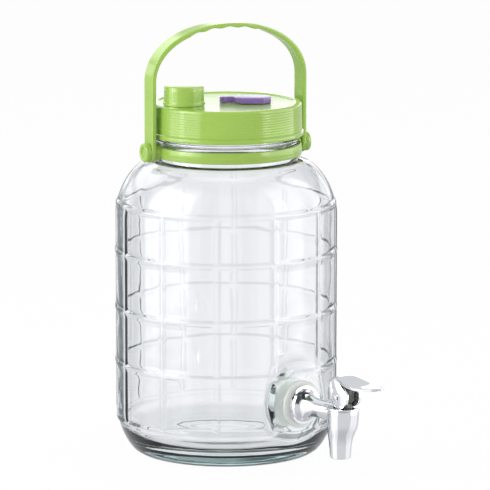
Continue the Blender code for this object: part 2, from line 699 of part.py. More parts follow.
def make_lid(lid_frame, spout_frame, vent_frame, plastic):
    lid = place(turned("screw_lid", lid_profile(), LID_STEPS), plastic, lid_frame)
    vent_hole = rod("VentHole", VENT_STEM_RADIUS + TOUCH_GAP, LID_UNDERSIDE - OVERRUN, LID_TOP + OVERRUN,
                    TINY_STEPS)
    cut(lid, place(vent_hole, parent=vent_frame))
    middle = (LID_TOP + LID_UNDERSIDE) / 2
    boss_top = LID_TOP + SPOUT_BOSS_RAISE
    spout = turned("Spout", [(0, SPOUT_TOP), (SPOUT_RADIUS, SPOUT_TOP), (SPOUT_RADIUS, boss_top),
                             (SPOUT_BOSS_RADIUS, boss_top), (SPOUT_BOSS_RADIUS, middle), (0, middle)],
                   SMALL_STEPS)
    join(lid, place(spout, parent=spout_frame))
    bore = rod("SpoutBore", SPOUT_RADIUS - SPOUT_WALL, LID_UNDERSIDE - OVERRUN, SPOUT_TOP + OVERRUN,
               SMALL_STEPS)
    return cut(lid, place(bore, parent=spout_frame))


def make_gasket(lid_frame, silicone):
    gasket = ring("lid_gasket", RIM_INNER_RADIUS - GASKET_OVERHANG, NECK_RADIUS + GASKET_OVERHANG,
                  GASKET_BOTTOM, GASKET_BOTTOM + GASKET_THICKNESS, LID_STEPS)
    return place(gasket, silicone, lid_frame)


def make_spout_cap(spout_frame, plastic):
    flange_top = CAP_BOTTOM + CAP_FLANGE_HEIGHT
    inner_radius = CAP_TOP_RADIUS - CAP_WALL
    underside = CAP_TOP - CAP_TOP_THICKNESS
    profile = [(0, CAP_TOP),
               (CAP_TOP_RADIUS - CAP_ROUND, CAP_TOP),
               (CAP_TOP_RADIUS - CAP_ROUND * ROUND_MIDDLE_SHARE, CAP_TOP - CAP_ROUND * ROUND_MIDDLE_SHARE),
               (CAP_TOP_RADIUS, CAP_TOP - CAP_ROUND),
               (CAP_BOTTOM_RADIUS, flange_top),
               (CAP_FLANGE_RADIUS, flange_top - (CAP_FLANGE_RADIUS - CAP_BOTTOM_RADIUS) / 2),
               (CAP_FLANGE_RADIUS, CAP_BOTTOM),
               (inner_radius, CAP_BOTTOM),
               (inner_radius, underside),
               (0, underside)]
    return place(turned("spout_cap", profile, SMALL_STEPS), plastic, spout_frame)


def make_cap_liner(spout_frame, silicone):
    top = CAP_TOP - CAP_TOP_THICKNESS - TOUCH_GAP
    radius = CAP_TOP_RADIUS - CAP_WALL - TOUCH_GAP
    liner = rod("spout_cap_liner", radius, top - CAP_LINER_THICKNESS, top, SMALL_STEPS)
    return place(liner, silicone, spout_frame)


def vent_outline():
    """Eight-sided plate with a round-ended tab on a short neck at one side."""
    side = VENT_HALF_WIDTH - VENT_CORNER
    end = VENT_HALF_DEPTH - VENT_CORNER
    plate = [(-side, -VENT_HALF_DEPTH), (side, -VENT_HALF_DEPTH), (VENT_HALF_WIDTH, -end),
             (VENT_HALF_WIDTH, end), (side, VENT_HALF_DEPTH), (-side, VENT_HALF_DEPTH)]
    neck_end = VENT_HALF_WIDTH + VENT_NECK_LENGTH
    middle = neck_end + VENT_TAB_LENGTH / 2
    half_turn = math.radians(VENT_TAB_TURN_DEGREES)
    turns = [half_turn - 2 * half_turn * step / VENT_TAB_STEPS for step in range(VENT_TAB_STEPS + 1)]
    tab = [(-middle - VENT_TAB_LENGTH / 2 * math.cos(turn), VENT_TAB_HALF_WIDTH * math.sin(turn))
           for turn in turns]
    return (plate + [(-VENT_HALF_WIDTH, end), (-VENT_HALF_WIDTH, VENT_NECK_HALF_WIDTH)]
            + [(-neck_end, VENT_NECK_HALF_WIDTH)] + tab + [(-neck_end, -VENT_NECK_HALF_WIDTH)]
            + [(-VENT_HALF_WIDTH, -VENT_NECK_HALF_WIDTH), (-VENT_HALF_WIDTH, -end)])


def make_vent_plug(vent_frame, plastic):
    bottom = LID_TOP + TOUCH_GAP
    plug = place(soften(extruded("vent_plug", vent_outline(), VENT_THICKNESS), VENT_EDGE_ROUND), plastic,
                 vent_frame, (0, 0, bottom + VENT_THICKNESS / 2))
    stem = rod("VentStem", VENT_STEM_RADIUS, LID_UNDERSIDE + VENT_STEM_RISE, bottom + VENT_THICKNESS / 2,
               TINY_STEPS)
    return join(plug, place(stem, parent=vent_frame))


def bell_profile():
    """Shank and bell of the tap from the barrel's axis back to the shank's inner end."""
    seat = BELL_SEAT
    drop = BELL_RADIUS - BELL_NECK_RADIUS
    neck = [(BELL_NECK_RADIUS + drop * out, seat + BELL_EDGE + (BELL_LENGTH - BELL_EDGE) * along)
            for out, along in reversed(BELL_SHAPE_SHARES)]
    face = [(BELL_NECK_RADIUS + drop * out, seat + BELL_EDGE + BELL_EDGE * along)
            for out, along in reversed(BELL_FACE_SHARES)]
    tail = INNER_WASHER_SEAT - SHANK_TAIL
    start = [(0, BARREL_DISTANCE), (BELL_NECK_RADIUS, BARREL_DISTANCE),
             (BELL_NECK_RADIUS, seat + BELL_LENGTH)]
    return start + neck + face + [(BELL_RADIUS, seat), (SHANK_RADIUS, seat), (SHANK_RADIUS, tail), (0, tail)]


def barrel_tube():
    """Return the barrel and outlet as one tube whose radius and middle line change on the way down."""
    curve = bpy.data.curves.new("BarrelTube", "CURVE")
    curve.dimensions = "3D"
    curve.bevel_depth = BARREL_RADIUS
    curve.bevel_resolution = BARREL_SIDES // 2 - 2
    curve.use_fill_caps = True
    spline = curve.splines.new("POLY")
    spline.points.add(len(BARREL_SHAPE_SHARES) - 1)
    for point, (up, wide, back) in zip(spline.points, BARREL_SHAPE_SHARES):
        point.co = (0, OUTLET_OFFSET * back, OUTLET_BOTTOM + (BARREL_TOP - OUTLET_BOTTOM) * up, 1)
        point.radius = wide
    tube = bpy.data.objects.new("BarrelTube", curve)
    CUTTERS.objects.link(tube)
    return curve_to_mesh(tube)


def make_tap_body(tap_frame, barrel_frame, metal):
    body = place(turned("tap_body", bell_profile(), SMALL_STEPS), metal, tap_frame)
    seat = rod("BonnetSeat", BONNET_RADIUS + TOUCH_GAP, BARREL_TOP - TOUCH_GAP,
               TAP_HEIGHT + BELL_NECK_RADIUS + OVERRUN, SMALL_STEPS)
    cut(body, place(seat, parent=barrel_frame))
    join(body, place(barrel_tube(), parent=barrel_frame))
    chamber = turned("Chamber", [(0, BARREL_TOP + OVERRUN), (CHAMBER_RADIUS, BARREL_TOP + OVERRUN),
                                 (CHAMBER_RADIUS, SEAT_TOP), (SEAT_HOLE_RADIUS, SEAT_BOTTOM),
                                 (SEAT_HOLE_RADIUS, SEAT_BOTTOM - OVERRUN), (0, SEAT_BOTTOM - OVERRUN)],
                     TINY_STEPS)
    cut(body, place(chamber, parent=barrel_frame))
    bore = rod("OutletBore", OUTLET_BORE_RADIUS, OUTLET_BOTTOM - OVERRUN, SEAT_BOTTOM - SEAT_LEDGE, TINY_STEPS)
    cut(body, place(bore, parent=barrel_frame, location=(0, OUTLET_OFFSET, 0)))
    passage = rod("Passage", SHANK_BORE_RADIUS, INNER_WASHER_SEAT - SHANK_TAIL - OVERRUN, BARREL_DISTANCE,
                  TINY_STEPS)
    return cut(body, place(passage, parent=tap_frame))


def make_washer(tap_frame, name, radius, seat, thickness, silicone):
    washer = ring(name, WASHER_BORE_RADIUS, radius, seat, seat + thickness, SMALL_STEPS)
    return place(washer, silicone, tap_frame)


def make_nut(tap_frame, plastic):
    flange = rod("tap_nut", NUT_FLANGE_RADIUS, NUT_SEAT - NUT_FLANGE_THICKNESS, NUT_SEAT, SMALL_STEPS)
    nut = place(flange, plastic, tap_frame)
    corner_radius = NUT_ACROSS_FLATS / 2 / math.cos(math.pi / NUT_SIDES)
    grip = rod("NutGrip", corner_radius, NUT_SEAT - NUT_LENGTH, NUT_SEAT - NUT_FLANGE_THICKNESS / 2, NUT_SIDES)
    join(nut, place(grip, parent=tap_frame))
    bore = rod("NutBore", WASHER_BORE_RADIUS, NUT_SEAT - NUT_LENGTH - OVERRUN, NUT_SEAT + OVERRUN, TINY_STEPS)
    return cut(nut, place(bore, parent=tap_frame))


def make_bonnet(barrel_frame, metal):
    spigot_radius = CHAMBER_RADIUS - TOUCH_GAP
    profile = [(STEM_BORE_RADIUS, BONNET_TOP), (BONNET_RADIUS - BONNET_CHAMFER, BONNET_TOP),
               (BONNET_RADIUS, BONNET_TOP - BONNET_CHAMFER), (BONNET_RADIUS, BONNET_BOTTOM),
               (spigot_radius, BONNET_BOTTOM), (spigot_radius, BONNET_BOTTOM - BONNET_SPIGOT),
               (STEM_BORE_RADIUS, BONNET_BOTTOM - BONNET_SPIGOT)]
    return place(turned("tap_bonnet", profile, SMALL_STEPS, closed=True), metal, barrel_frame)


def trim_to_flats(piece, name, barrel_frame, height):
    """Cut a turned piece down to the two flats that fit between the lever's cheeks."""
    reach = HEAD_RADIUS + OVERRUN
    half = HEAD_FLATS / 2
    outline = [(-half, -reach), (half, -reach), (half, reach), (-half, reach)]
    flats = extruded(name, outline, HEAD_HEIGHT + 2 * OVERRUN)
    return combine(piece, place(flats, parent=barrel_frame, location=(0, 0, height)), "INTERSECT")


def make_guide(barrel_frame, plastic):
    top = GUIDE_BOTTOM + GUIDE_HEIGHT
    profile = [(STEM_BORE_RADIUS, top), (GUIDE_TOP_RADIUS, top), (GUIDE_BASE_RADIUS, GUIDE_BOTTOM),
               (STEM_BORE_RADIUS, GUIDE_BOTTOM)]
    guide = place(turned("stem_guide", profile, SMALL_STEPS, closed=True), plastic, barrel_frame)
    return trim_to_flats(guide, "GuideFlats", barrel_frame, top)


def pin_hole(name, barrel_frame):
    """Return a cutter for the lever pin's hole, which runs across the stem's axis."""
    reach = CHEEK_OUTER + OVERRUN
    hole = rod(name, PIN_BORE_RADIUS, -reach, reach, TINY_STEPS)
    return place(hole, parent=barrel_frame, location=(0, 0, LEVER_PIN_HEIGHT), rotation=(0, 90, 0))


def make_stem(barrel_frame, metal):
    bottom = PLUG_TOP - PLUG_SOCKET_DEPTH + TOUCH_GAP
    stem = place(rod("valve_stem", STEM_RADIUS, bottom, STEM_TOP, TINY_STEPS), metal, barrel_frame)
    return cut(stem, pin_hole("StemPinHole", barrel_frame))


def make_stem_head(barrel_frame, plastic):
    profile = [(0, HEAD_TOP), (HEAD_RADIUS - HEAD_CHAMFER, HEAD_TOP), (HEAD_RADIUS, HEAD_TOP - HEAD_CHAMFER),
               (HEAD_RADIUS, HEAD_BOTTOM + HEAD_CHAMFER), (HEAD_RADIUS - HEAD_CHAMFER, HEAD_BOTTOM),
               (0, HEAD_BOTTOM)]
    head = place(turned("stem_head", profile, SMALL_STEPS), plastic, barrel_frame)
    trim_to_flats(head, "HeadFlats", barrel_frame, (HEAD_TOP + HEAD_BOTTOM) / 2)
    socket = rod("HeadSocket", STEM_BORE_RADIUS, HEAD_BOTTOM - OVERRUN, STEM_TOP + TOUCH_GAP, TINY_STEPS)
    cut(head, place(socket, parent=barrel_frame))
    return cut(head, pin_hole("HeadPinHole", barrel_frame))


def make_plug(barrel_frame, silicone):
    slope = (CHAMBER_RADIUS - SEAT_HOLE_RADIUS) / (SEAT_TOP - SEAT_BOTTOM)
    tip_radius = SEAT_HOLE_RADIUS + (PLUG_TIP_HEIGHT - SEAT_BOTTOM) * slope - 2 * TOUCH_GAP
    shoulder = PLUG_TIP_HEIGHT + (SEAT_TOP - PLUG_TIP_HEIGHT) * PLUG_TAPER_SHARE
    shoulder_radius = tip_radius + (shoulder - PLUG_TIP_HEIGHT) * slope
    socket_bottom = PLUG_TOP - PLUG_SOCKET_DEPTH
    profile = [(STEM_BORE_RADIUS, PLUG_TOP), (shoulder_radius, PLUG_TOP), (shoulder_radius, shoulder),
               (tip_radius, PLUG_TIP_HEIGHT), (0, PLUG_TIP_HEIGHT)]
    socket = [(0, socket_bottom), (STEM_BORE_RADIUS, socket_bottom)]
    return place(turned("valve_plug", socket + profile, TINY_STEPS), silicone, barrel_frame)


def make_spring(barrel_frame, metal):
    """Coil spring that presses the plug down: a helix between the plug and the bonnet."""
    bottom = PLUG_TOP + TOUCH_GAP + SPRING_WIRE_RADIUS
    top = BONNET_BOTTOM - BONNET_SPIGOT - TOUCH_GAP - SPRING_WIRE_RADIUS
    count = SPRING_TURNS * SPRING_POINTS_PER_TURN
    curve = bpy.data.curves.new("valve_spring", "CURVE")
    curve.dimensions = "3D"
    curve.bevel_depth = SPRING_WIRE_RADIUS
    curve.bevel_resolution = SPRING_WIRE_RESOLUTION
    curve.use_fill_caps = True
    spline = curve.splines.new("POLY")
    spline.points.add(count)
    for index, point in enumerate(spline.points):
        angle = 2 * math.pi * index / SPRING_POINTS_PER_TURN
        height = bottom + (top - bottom) * index / count
        point.co = (SPRING_RADIUS * math.cos(angle), SPRING_RADIUS * math.sin(angle), height, 1)
    coil = bpy.data.objects.new("valve_spring", curve)
    CUTTERS.objects.link(coil)
    print("valve_spring gap between turns", round((top - bottom) / SPRING_TURNS - 2 * SPRING_WIRE_RADIUS, 5))
    return place(curve_to_mesh(coil), metal, barrel_frame)


def paddle_outline():
    """Side view of the thumb paddle: its waved top and, below it, its underside."""
    top = [(-PADDLE_REAR + PADDLE_LENGTH * along, PADDLE_RISE * up) for along, up in PADDLE_WAVE_SHARES]
    upper = smooth_path(top, PATH_STEPS)
    under = [(forward, height - PADDLE_THICKNESS) for forward, height in upper]
    return under + upper[::-1]


def paddle_plan():
    """Plan of the thumb paddle: broad over the pin and drawn in to a round tip."""
    side = [(-PADDLE_REAR + PADDLE_LENGTH * along, PADDLE_HALF_WIDTH * wide)
            for along, wide in PADDLE_PLAN_SHARES]
    edge = smooth_path(side, PATH_STEPS)
    tip = [(PADDLE_LENGTH - PADDLE_REAR, 0)]
    return edge + tip + [(forward, -across) for forward, across in edge[::-1]]


def cheek_outline():
    """Side view of a cheek: a flat sole, then a cam that lifts the stem evenly as the lever turns."""
    cam = []
    for index in range(CAM_POINTS + 1):
        turn = math.radians(CAM_TURN_DEGREES) * index / CAM_POINTS
        reach = SOLE_DROP + CAM_LIFT_PER_RADIAN * turn
        cam.append((reach * math.sin(turn) + CAM_LIFT_PER_RADIAN * math.cos(turn),
                    -reach * math.cos(turn) + CAM_LIFT_PER_RADIAN * math.sin(turn)))
    edge = [(CHEEK_FRONT * forward, PADDLE_RISE * up) for forward, up in CHEEK_EDGE_SHARES]
    return [(-CHEEK_REAR, -CHEEK_REAR_DROP), (SOLE_REAR, -SOLE_DROP)] + cam + edge


def make_lever(lever_frame, barrel_frame, metal):
    lever = place(extruded("tap_lever", paddle_outline(), 2 * PADDLE_HALF_WIDTH + OVERRUN), metal, lever_frame,
                  rotation=(90, 0, -90))
    plan = extruded("PaddlePlan", paddle_plan(), 2 * (PADDLE_RISE + OVERRUN))
    combine(lever, place(plan, parent=lever_frame, rotation=(0, 0, -90)), "INTERSECT")
    for side in (-1, 1):
        cheek = extruded("Cheek", cheek_outline(), CHEEK_THICKNESS)
        middle = side * (CHEEK_INNER + CHEEK_OUTER) / 2
        join(lever, place(cheek, parent=lever_frame, location=(middle, 0, 0), rotation=(90, 0, -90)))
    return cut(lever, pin_hole("LeverPinHole", barrel_frame))


def make_lever_pin(lever_frame, metal):
    inner = CHEEK_OUTER + TOUCH_GAP
    outer = inner + PIN_HEAD_THICKNESS
    profile = [(0, outer), (PIN_HEAD_RADIUS, outer), (PIN_HEAD_RADIUS, inner), (LEVER_PIN_RADIUS, inner),
               (LEVER_PIN_RADIUS, -inner), (PIN_HEAD_RADIUS, -inner), (PIN_HEAD_RADIUS, -outer), (0, -outer)]
    return place(turned("lever_pin", profile, TINY_STEPS), metal, lever_frame, rotation=(0, 90, 0))


def main():
    glass = clear_glass()
    green = green_plastic()
    purple = purple_plastic()
    bright = chrome()
    black = black_plastic()
    white = white_plastic()
    silicone = milky_silicone()
    wire = steel()

    tap_frame = new_frame("TapFrame", (0, 0, TAP_HEIGHT), (90, 0, 0))
    barrel_frame = new_frame("BarrelFrame", (0, -BARREL_DISTANCE, 0))
    lever_frame = new_frame("LeverFrame", (0, 0, LEVER_PIN_HEIGHT), parent=barrel_frame)
    collar_frame = new_frame("CollarFrame", (0, 0, PIVOT_HEIGHT), (0, 0, HANDLE_TURN_DEGREES))
    handle_frame = new_frame("HandleFrame", (0, 0, 0), parent=collar_frame)
    lid_frame = new_frame("LidFrame", (0, 0, 0))
    spout_frame = new_frame("SpoutFrame", (-SPOUT_OFFSET, 0, 0), parent=lid_frame)
    vent_frame = new_frame("VentFrame", (VENT_ACROSS, VENT_ALONG, 0), (0, 0, VENT_TURN_DEGREES), lid_frame)

    make_jar(tap_frame, glass)
    make_collar(collar_frame, green)
    make_handle(handle_frame, green)
    make_pivot_cap(collar_frame, "pivot_cap_left", -90, green)
    make_pivot_cap(collar_frame, "pivot_cap_right", 90, green)
    make_lid(lid_frame, spout_frame, vent_frame, green)
    make_gasket(lid_frame, silicone)
    make_spout_cap(spout_frame, green)
    make_cap_liner(spout_frame, silicone)
    make_vent_plug(vent_frame, purple)
    make_tap_body(tap_frame, barrel_frame, bright)
    make_washer(tap_frame, "tap_outer_washer", OUTER_WASHER_RADIUS, OUTER_WASHER_SEAT,
                OUTER_WASHER_THICKNESS, silicone)
    make_washer(tap_frame, "tap_inner_washer", INNER_WASHER_RADIUS,
                INNER_WASHER_SEAT - INNER_WASHER_THICKNESS, INNER_WASHER_THICKNESS, silicone)
    make_nut(tap_frame, white)
    make_bonnet(barrel_frame, bright)
    make_guide(barrel_frame, black)
    make_stem(barrel_frame, wire)
    make_stem_head(barrel_frame, black)
    make_plug(barrel_frame, silicone)
    make_spring(barrel_frame, wire)
    make_lever(lever_frame, barrel_frame, bright)
    make_lever_pin(lever_frame, wire)


main()
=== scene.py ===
"""Looks of the fermentation jar with its tap: glass, screw lid, bail handle and lever tap."""
import json
import math

import bmesh
import bpy
from bpy.props import FloatProperty, FloatVectorProperty, IntProperty, PointerProperty
from mathutils import Matrix, Vector, noise


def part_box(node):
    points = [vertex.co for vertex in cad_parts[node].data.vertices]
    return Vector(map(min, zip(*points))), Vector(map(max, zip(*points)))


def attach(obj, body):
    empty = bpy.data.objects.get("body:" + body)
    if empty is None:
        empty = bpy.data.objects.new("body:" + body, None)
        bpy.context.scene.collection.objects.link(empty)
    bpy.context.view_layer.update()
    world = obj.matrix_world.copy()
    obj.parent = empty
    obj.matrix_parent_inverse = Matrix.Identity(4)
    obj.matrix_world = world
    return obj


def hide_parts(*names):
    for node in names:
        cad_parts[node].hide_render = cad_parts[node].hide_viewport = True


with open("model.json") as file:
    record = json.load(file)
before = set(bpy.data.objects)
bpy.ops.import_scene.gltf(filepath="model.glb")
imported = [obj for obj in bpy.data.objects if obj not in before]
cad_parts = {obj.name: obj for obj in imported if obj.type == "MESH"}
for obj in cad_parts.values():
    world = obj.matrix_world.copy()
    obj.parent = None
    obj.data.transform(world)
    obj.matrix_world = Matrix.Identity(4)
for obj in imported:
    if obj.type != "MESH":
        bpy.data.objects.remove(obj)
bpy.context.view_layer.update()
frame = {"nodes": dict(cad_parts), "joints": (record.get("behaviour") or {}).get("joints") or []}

bl_info = {
    "name": "Fermentation Jar",
    "version": (1, 0, 0),
    "blender": (4, 5, 0),
    "location": "View3D > Sidebar > Jar",
    "description": "Builds a ribbed glass jar with a screw lid, a bail handle and a lever tap",
    "category": "Object",
}

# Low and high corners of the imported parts
_, JAR_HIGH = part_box("glass_jar")
LID_LOW, LID_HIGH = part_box("screw_lid")
_, GASKET_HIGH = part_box("lid_gasket")
CAP_LOW, CAP_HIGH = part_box("spout_cap")
PLUG_LOW, PLUG_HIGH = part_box("vent_plug")
_, HANDLE_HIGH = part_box("bail_handle")
WASHER_LOW, WASHER_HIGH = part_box("tap_outer_washer")
INNER_WASHER_LOW, INNER_WASHER_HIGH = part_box("tap_inner_washer")
NUT_LOW, NUT_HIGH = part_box("tap_nut")
TAP_LOW, TAP_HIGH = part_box("tap_body")
BONNET_LOW, BONNET_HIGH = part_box("tap_bonnet")
GUIDE_LOW, GUIDE_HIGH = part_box("stem_guide")
HEAD_LOW, HEAD_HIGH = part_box("stem_head")
_, PIN_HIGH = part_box("lever_pin")

# Axes of the joints
JOINTS = {joint["name"]: joint for joint in frame["joints"]}
PIVOT = Vector(JOINTS["handle_swing"]["pos_m"])
PIVOT_TURN = math.atan2(JOINTS["handle_swing"]["axis"][1], JOINTS["handle_swing"]["axis"][0])
PIN = Vector(JOINTS["lever_press"]["pos_m"])
SPOUT = Vector(JOINTS["spout_cap_turn"]["pos_m"])

# Gap between seated pieces, distance at which points are one, and reach of a cutter past what it cuts
GAP = 0.0003
WELD = 0.000001
OVERRUN = 0.002

# Angles from which an edge is shaded sharp, and from which it is rounded
SHARP_ANGLE = math.radians(38)
EDGE_ANGLE = math.radians(60)

# Direction of the photograph's view in degrees, which the vent plug faces
FRONT_AZIMUTH = -40.4

# Sizes and heights that several pieces share
SIDES = ((-1, "left"), (1, "right"))
RIM = JAR_HIGH.z
TAP_AXIS_HEIGHT = (WASHER_LOW.z + WASHER_HIGH.z) / 2
COLLAR_DROP = 0.0060
COLLAR_WIDTH = 0.0103
COLLAR_TOP = PIVOT.z - COLLAR_DROP + COLLAR_WIDTH
SPOUT_HEIGHT = 0.0160
LID_TOP = LID_HIGH.z - SPOUT_HEIGHT
VENT_X, VENT_Y = 0.0173, -0.0170
VENT_TURN = math.radians(FRONT_AZIMUTH)

# Places of the pieces: a turned piece is made about Z and then put on its own axis
COLLAR_PLACE = Matrix.Translation(PIVOT) @ Matrix.Rotation(PIVOT_TURN, 4, "Z")
TAP_PLACE = Matrix.Translation((0, 0, TAP_AXIS_HEIGHT)) @ Matrix.Rotation(math.pi / 2, 4, "X")
BARREL_PLACE = Matrix.Translation((0, PIN.y, 0))
PIN_PLACE = Matrix.Translation(PIN) @ Matrix.Rotation(math.pi / 2, 4, "Y")
SPOUT_PLACE = Matrix.Translation((SPOUT.x, SPOUT.y, 0))
VENT_PLACE = Matrix.Translation((VENT_X, VENT_Y, 0)) @ Matrix.Rotation(VENT_TURN, 4, "Z")

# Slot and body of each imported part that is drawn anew
PARTS = {
    "glass_jar": ("clear_glass", "jar"),
    "neck_collar": ("green_plastic", "collar"),
    "pivot_cap_left": ("green_plastic", "collar"),
    "pivot_cap_right": ("green_plastic", "collar"),
    "bail_handle": ("green_plastic", "handle"),
    "screw_lid": ("green_plastic", "lid"),
    "spout_cap": ("green_plastic", "spout_cap"),
    "vent_plug": ("purple_plastic", "vent_plug"),
    "tap_body": ("chrome", "jar"),
    "tap_bonnet": ("chrome", "jar"),
    "tap_outer_washer": ("silicone", "jar"),
    "tap_inner_washer": ("silicone", "jar"),
    "tap_nut": ("white_plastic", "jar"),
    "stem_guide": ("black_plastic", "jar"),
    "stem_head": ("black_plastic", "stem"),
    "tap_lever": ("chrome", "lever"),
    "lever_pin": ("steel", "stem"),
}

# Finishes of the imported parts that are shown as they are
INNER_PARTS = {"lid_gasket": "silicone", "spout_cap_liner": "silicone", "valve_plug": "silicone",
               "valve_stem": "steel", "valve_spring": "steel"}


class JarSizes(bpy.types.PropertyGroup):
    """Sizes of the glass jar"""
    body_radius: FloatProperty(name="Body radius", description="Outside of the wall between its ribs",
                               default=0.1014, unit="LENGTH")
    stand_radius: FloatProperty(name="Stand radius", description="Outer edge of the ring that the jar stands on",
                                default=0.082, unit="LENGTH")
    stand_width: FloatProperty(name="Stand width", description="Width of the ring that the jar stands on",
                               default=0.006, unit="LENGTH")
    push_up: FloatProperty(name="Push-up", description="Height of the base inside the standing ring",
                           default=0.0015, unit="LENGTH")
    heel: FloatProperty(name="Heel height", description="Height of the rounded foot of the wall",
                        default=0.040, unit="LENGTH")
    shoulder_start: FloatProperty(name="Shoulder start", description="Height at which the shoulder begins",
                                  default=0.222, unit="LENGTH")
    shoulder_height: FloatProperty(name="Shoulder height", description="Height of the shoulder up to the neck",
                                   default=0.0485, unit="LENGTH")
    shoulder_top: FloatProperty(name="Shoulder top radius", description="Radius where the shoulder meets the neck",
                                default=0.068, unit="LENGTH")
    wall: FloatProperty(name="Wall", description="Thickness of the wall", default=0.0050, unit="LENGTH")
    floor: FloatProperty(name="Floor", description="Thickness of the floor at its edge", default=0.011,
                         unit="LENGTH")
    neck_radius: FloatProperty(name="Neck radius", description="Outside of the threaded neck", default=0.0650,
                               unit="LENGTH")
    neck_wall: FloatProperty(name="Neck wall", description="Thickness of the neck", default=0.005, unit="LENGTH")
    rib_raise: FloatProperty(name="Ring raise", description="How far a round rib stands proud", default=0.0011,
                             unit="LENGTH")
    rib_half_width: FloatProperty(name="Rib half width", description="Half the width of a rib", default=0.0042,
                                  unit="LENGTH")
    bar_raise: FloatProperty(name="Bar raise", description="How far an upright rib stands proud", default=0.0008,
                             unit="LENGTH")
    bars: IntProperty(name="Upright ribs", description="Number of upright ribs", default=12, min=3)
    steps: IntProperty(name="Steps round the jar", description="How finely the glass is turned", default=360,
                       min=24)
    waviness: FloatProperty(name="Inner waviness", description="Ripples of the inner wall", default=0.00022,
                            unit="LENGTH")


class HandleSizes(bpy.types.PropertyGroup):
    """Sizes of the bail handle"""
    strap: FloatProperty(name="Strap", description="Thickness of the strap", default=0.0044, unit="LENGTH")
    half_width: FloatProperty(name="Strap half width", description="Half the width of the strap", default=0.0090,
                              unit="LENGTH")
    outside: FloatProperty(name="Leg reach", description="From the jar's axis to the outside of a leg",
                           default=0.0783, unit="LENGTH")
    eye_radius: FloatProperty(name="Eye radius", description="Rounded end of the strap round its stud",
                              default=0.0096, unit="LENGTH")
    arch_start: FloatProperty(name="Arch start", description="Height over the studs at which the arch begins",
                              default=0.0632, unit="LENGTH")
    waves: IntProperty(name="Finger waves", description="Number of waves under the grip", default=5, min=1)
    wave_length: FloatProperty(name="Wave length", description="Length of a finger wave", default=0.0165,
                               unit="LENGTH")
    wave_depth: FloatProperty(name="Wave depth", description="Depth of a finger wave", default=0.0013,
                              unit="LENGTH")


class LidSizes(bpy.types.PropertyGroup):
    """Sizes of the screw lid, its spout and the spout's cap"""
    radius: FloatProperty(name="Skirt radius", description="Outside of the skirt at its top", default=0.0694,
                          unit="LENGTH")
    inner_radius: FloatProperty(name="Inner radius", description="Inside of the skirt", default=0.0672,
                                unit="LENGTH")
    flange_radius: FloatProperty(name="Flange radius", description="Edge of the flange below the skirt",
                                 default=0.0713, unit="LENGTH")
    flange_height: FloatProperty(name="Flange height", description="Height of the flange below the skirt",
                                 default=0.0042, unit="LENGTH")
    rings: IntProperty(name="Skirt rings", description="Number of fine rings down the skirt", default=10, min=1)
    spout_radius: FloatProperty(name="Spout radius", description="Outside of the pouring spout", default=0.0142,
                                unit="LENGTH")
    spout_bore: FloatProperty(name="Spout bore", description="Inside of the pouring spout", default=0.0112,
                              unit="LENGTH")
    cap_radius: FloatProperty(name="Cap radius", description="Outside of the spout's cap at its top",
                              default=0.0180, unit="LENGTH")
    cap_rings: IntProperty(name="Cap rings", description="Number of fine rings down the cap", default=4, min=0)


class TapSizes(bpy.types.PropertyGroup):
    """Sizes of the tap and its lever"""
    bell_radius: FloatProperty(name="Bell radius", description="Edge of the trumpet-shaped flange",
                               default=0.0175, unit="LENGTH")
    bell_length: FloatProperty(name="Bell length", description="From the washer to the neck's narrowest place",
                               default=0.0380, unit="LENGTH")
    neck_radius: FloatProperty(name="Neck radius", description="Narrowest place between bell and barrel",
                               default=0.0080, unit="LENGTH")
    barrel_radius: FloatProperty(name="Barrel radius", description="Outside of the barrel at its foot",
                                 default=0.0144, unit="LENGTH")
    swing: FloatProperty(name="Outlet swing", description="How far the barrel swings back to its outlet",
                         default=0.0031, unit="LENGTH")
    paddle_length: FloatProperty(name="Paddle length", description="Length of the lever's thumb paddle",
                                 default=0.0625, unit="LENGTH")
    paddle_half_width: FloatProperty(name="Paddle half width", description="Half the paddle's greatest width",
                                     default=0.0136, unit="LENGTH")
    paddle_rise: FloatProperty(name="Paddle rise", description="Height of the paddle's crest over the pin",
                               default=0.0192, unit="LENGTH")
    paddle: FloatProperty(name="Paddle", description="Thickness of the paddle", default=0.0024, unit="LENGTH")
    cheek: FloatProperty(name="Cheek", description="Thickness of a cheek of the lever", default=0.0026,
                         unit="LENGTH")
    bore: FloatProperty(name="Washer bore", description="Hole of the washers and the nut", default=0.0086,
                        unit="LENGTH")


class FinishColours(bpy.types.PropertyGroup):
    """Colours of the finishes, as linear values"""
    glass: FloatVectorProperty(name="Glass", description="Tint that thick glass shows", subtype="COLOR",
                               default=(0.40, 0.74, 0.72))
    glass_depth: FloatProperty(name="Glass tint depth", description="Strength of the tint in each metre of glass",
                               default=5.0)
    green: FloatVectorProperty(name="Green plastic", description="Lid, handle, collar and spout cap",
                               subtype="COLOR", default=(0.36, 0.565, 0.095))
    purple: FloatVectorProperty(name="Purple plastic", description="Vent plug", subtype="COLOR",
                                default=(0.275, 0.155, 0.51))
    chrome: FloatVectorProperty(name="Chrome", description="Tap", subtype="COLOR", default=(0.87, 0.875, 0.895))
    black: FloatVectorProperty(name="Black plastic", description="Stem head and guide", subtype="COLOR",
                               default=(0.062, 0.062, 0.058))
    white: FloatVectorProperty(name="White plastic", description="Nut inside the jar", subtype="COLOR",
                               default=(0.88, 0.885, 0.88))
    silicone: FloatVectorProperty(name="Silicone", description="Washers, gasket and liner", subtype="COLOR",
                                  default=(0.82, 0.84, 0.80))
    steel: FloatVectorProperty(name="Steel", description="Valve stem, spring and pin", subtype="COLOR",
                               default=(0.62, 0.63, 0.65))


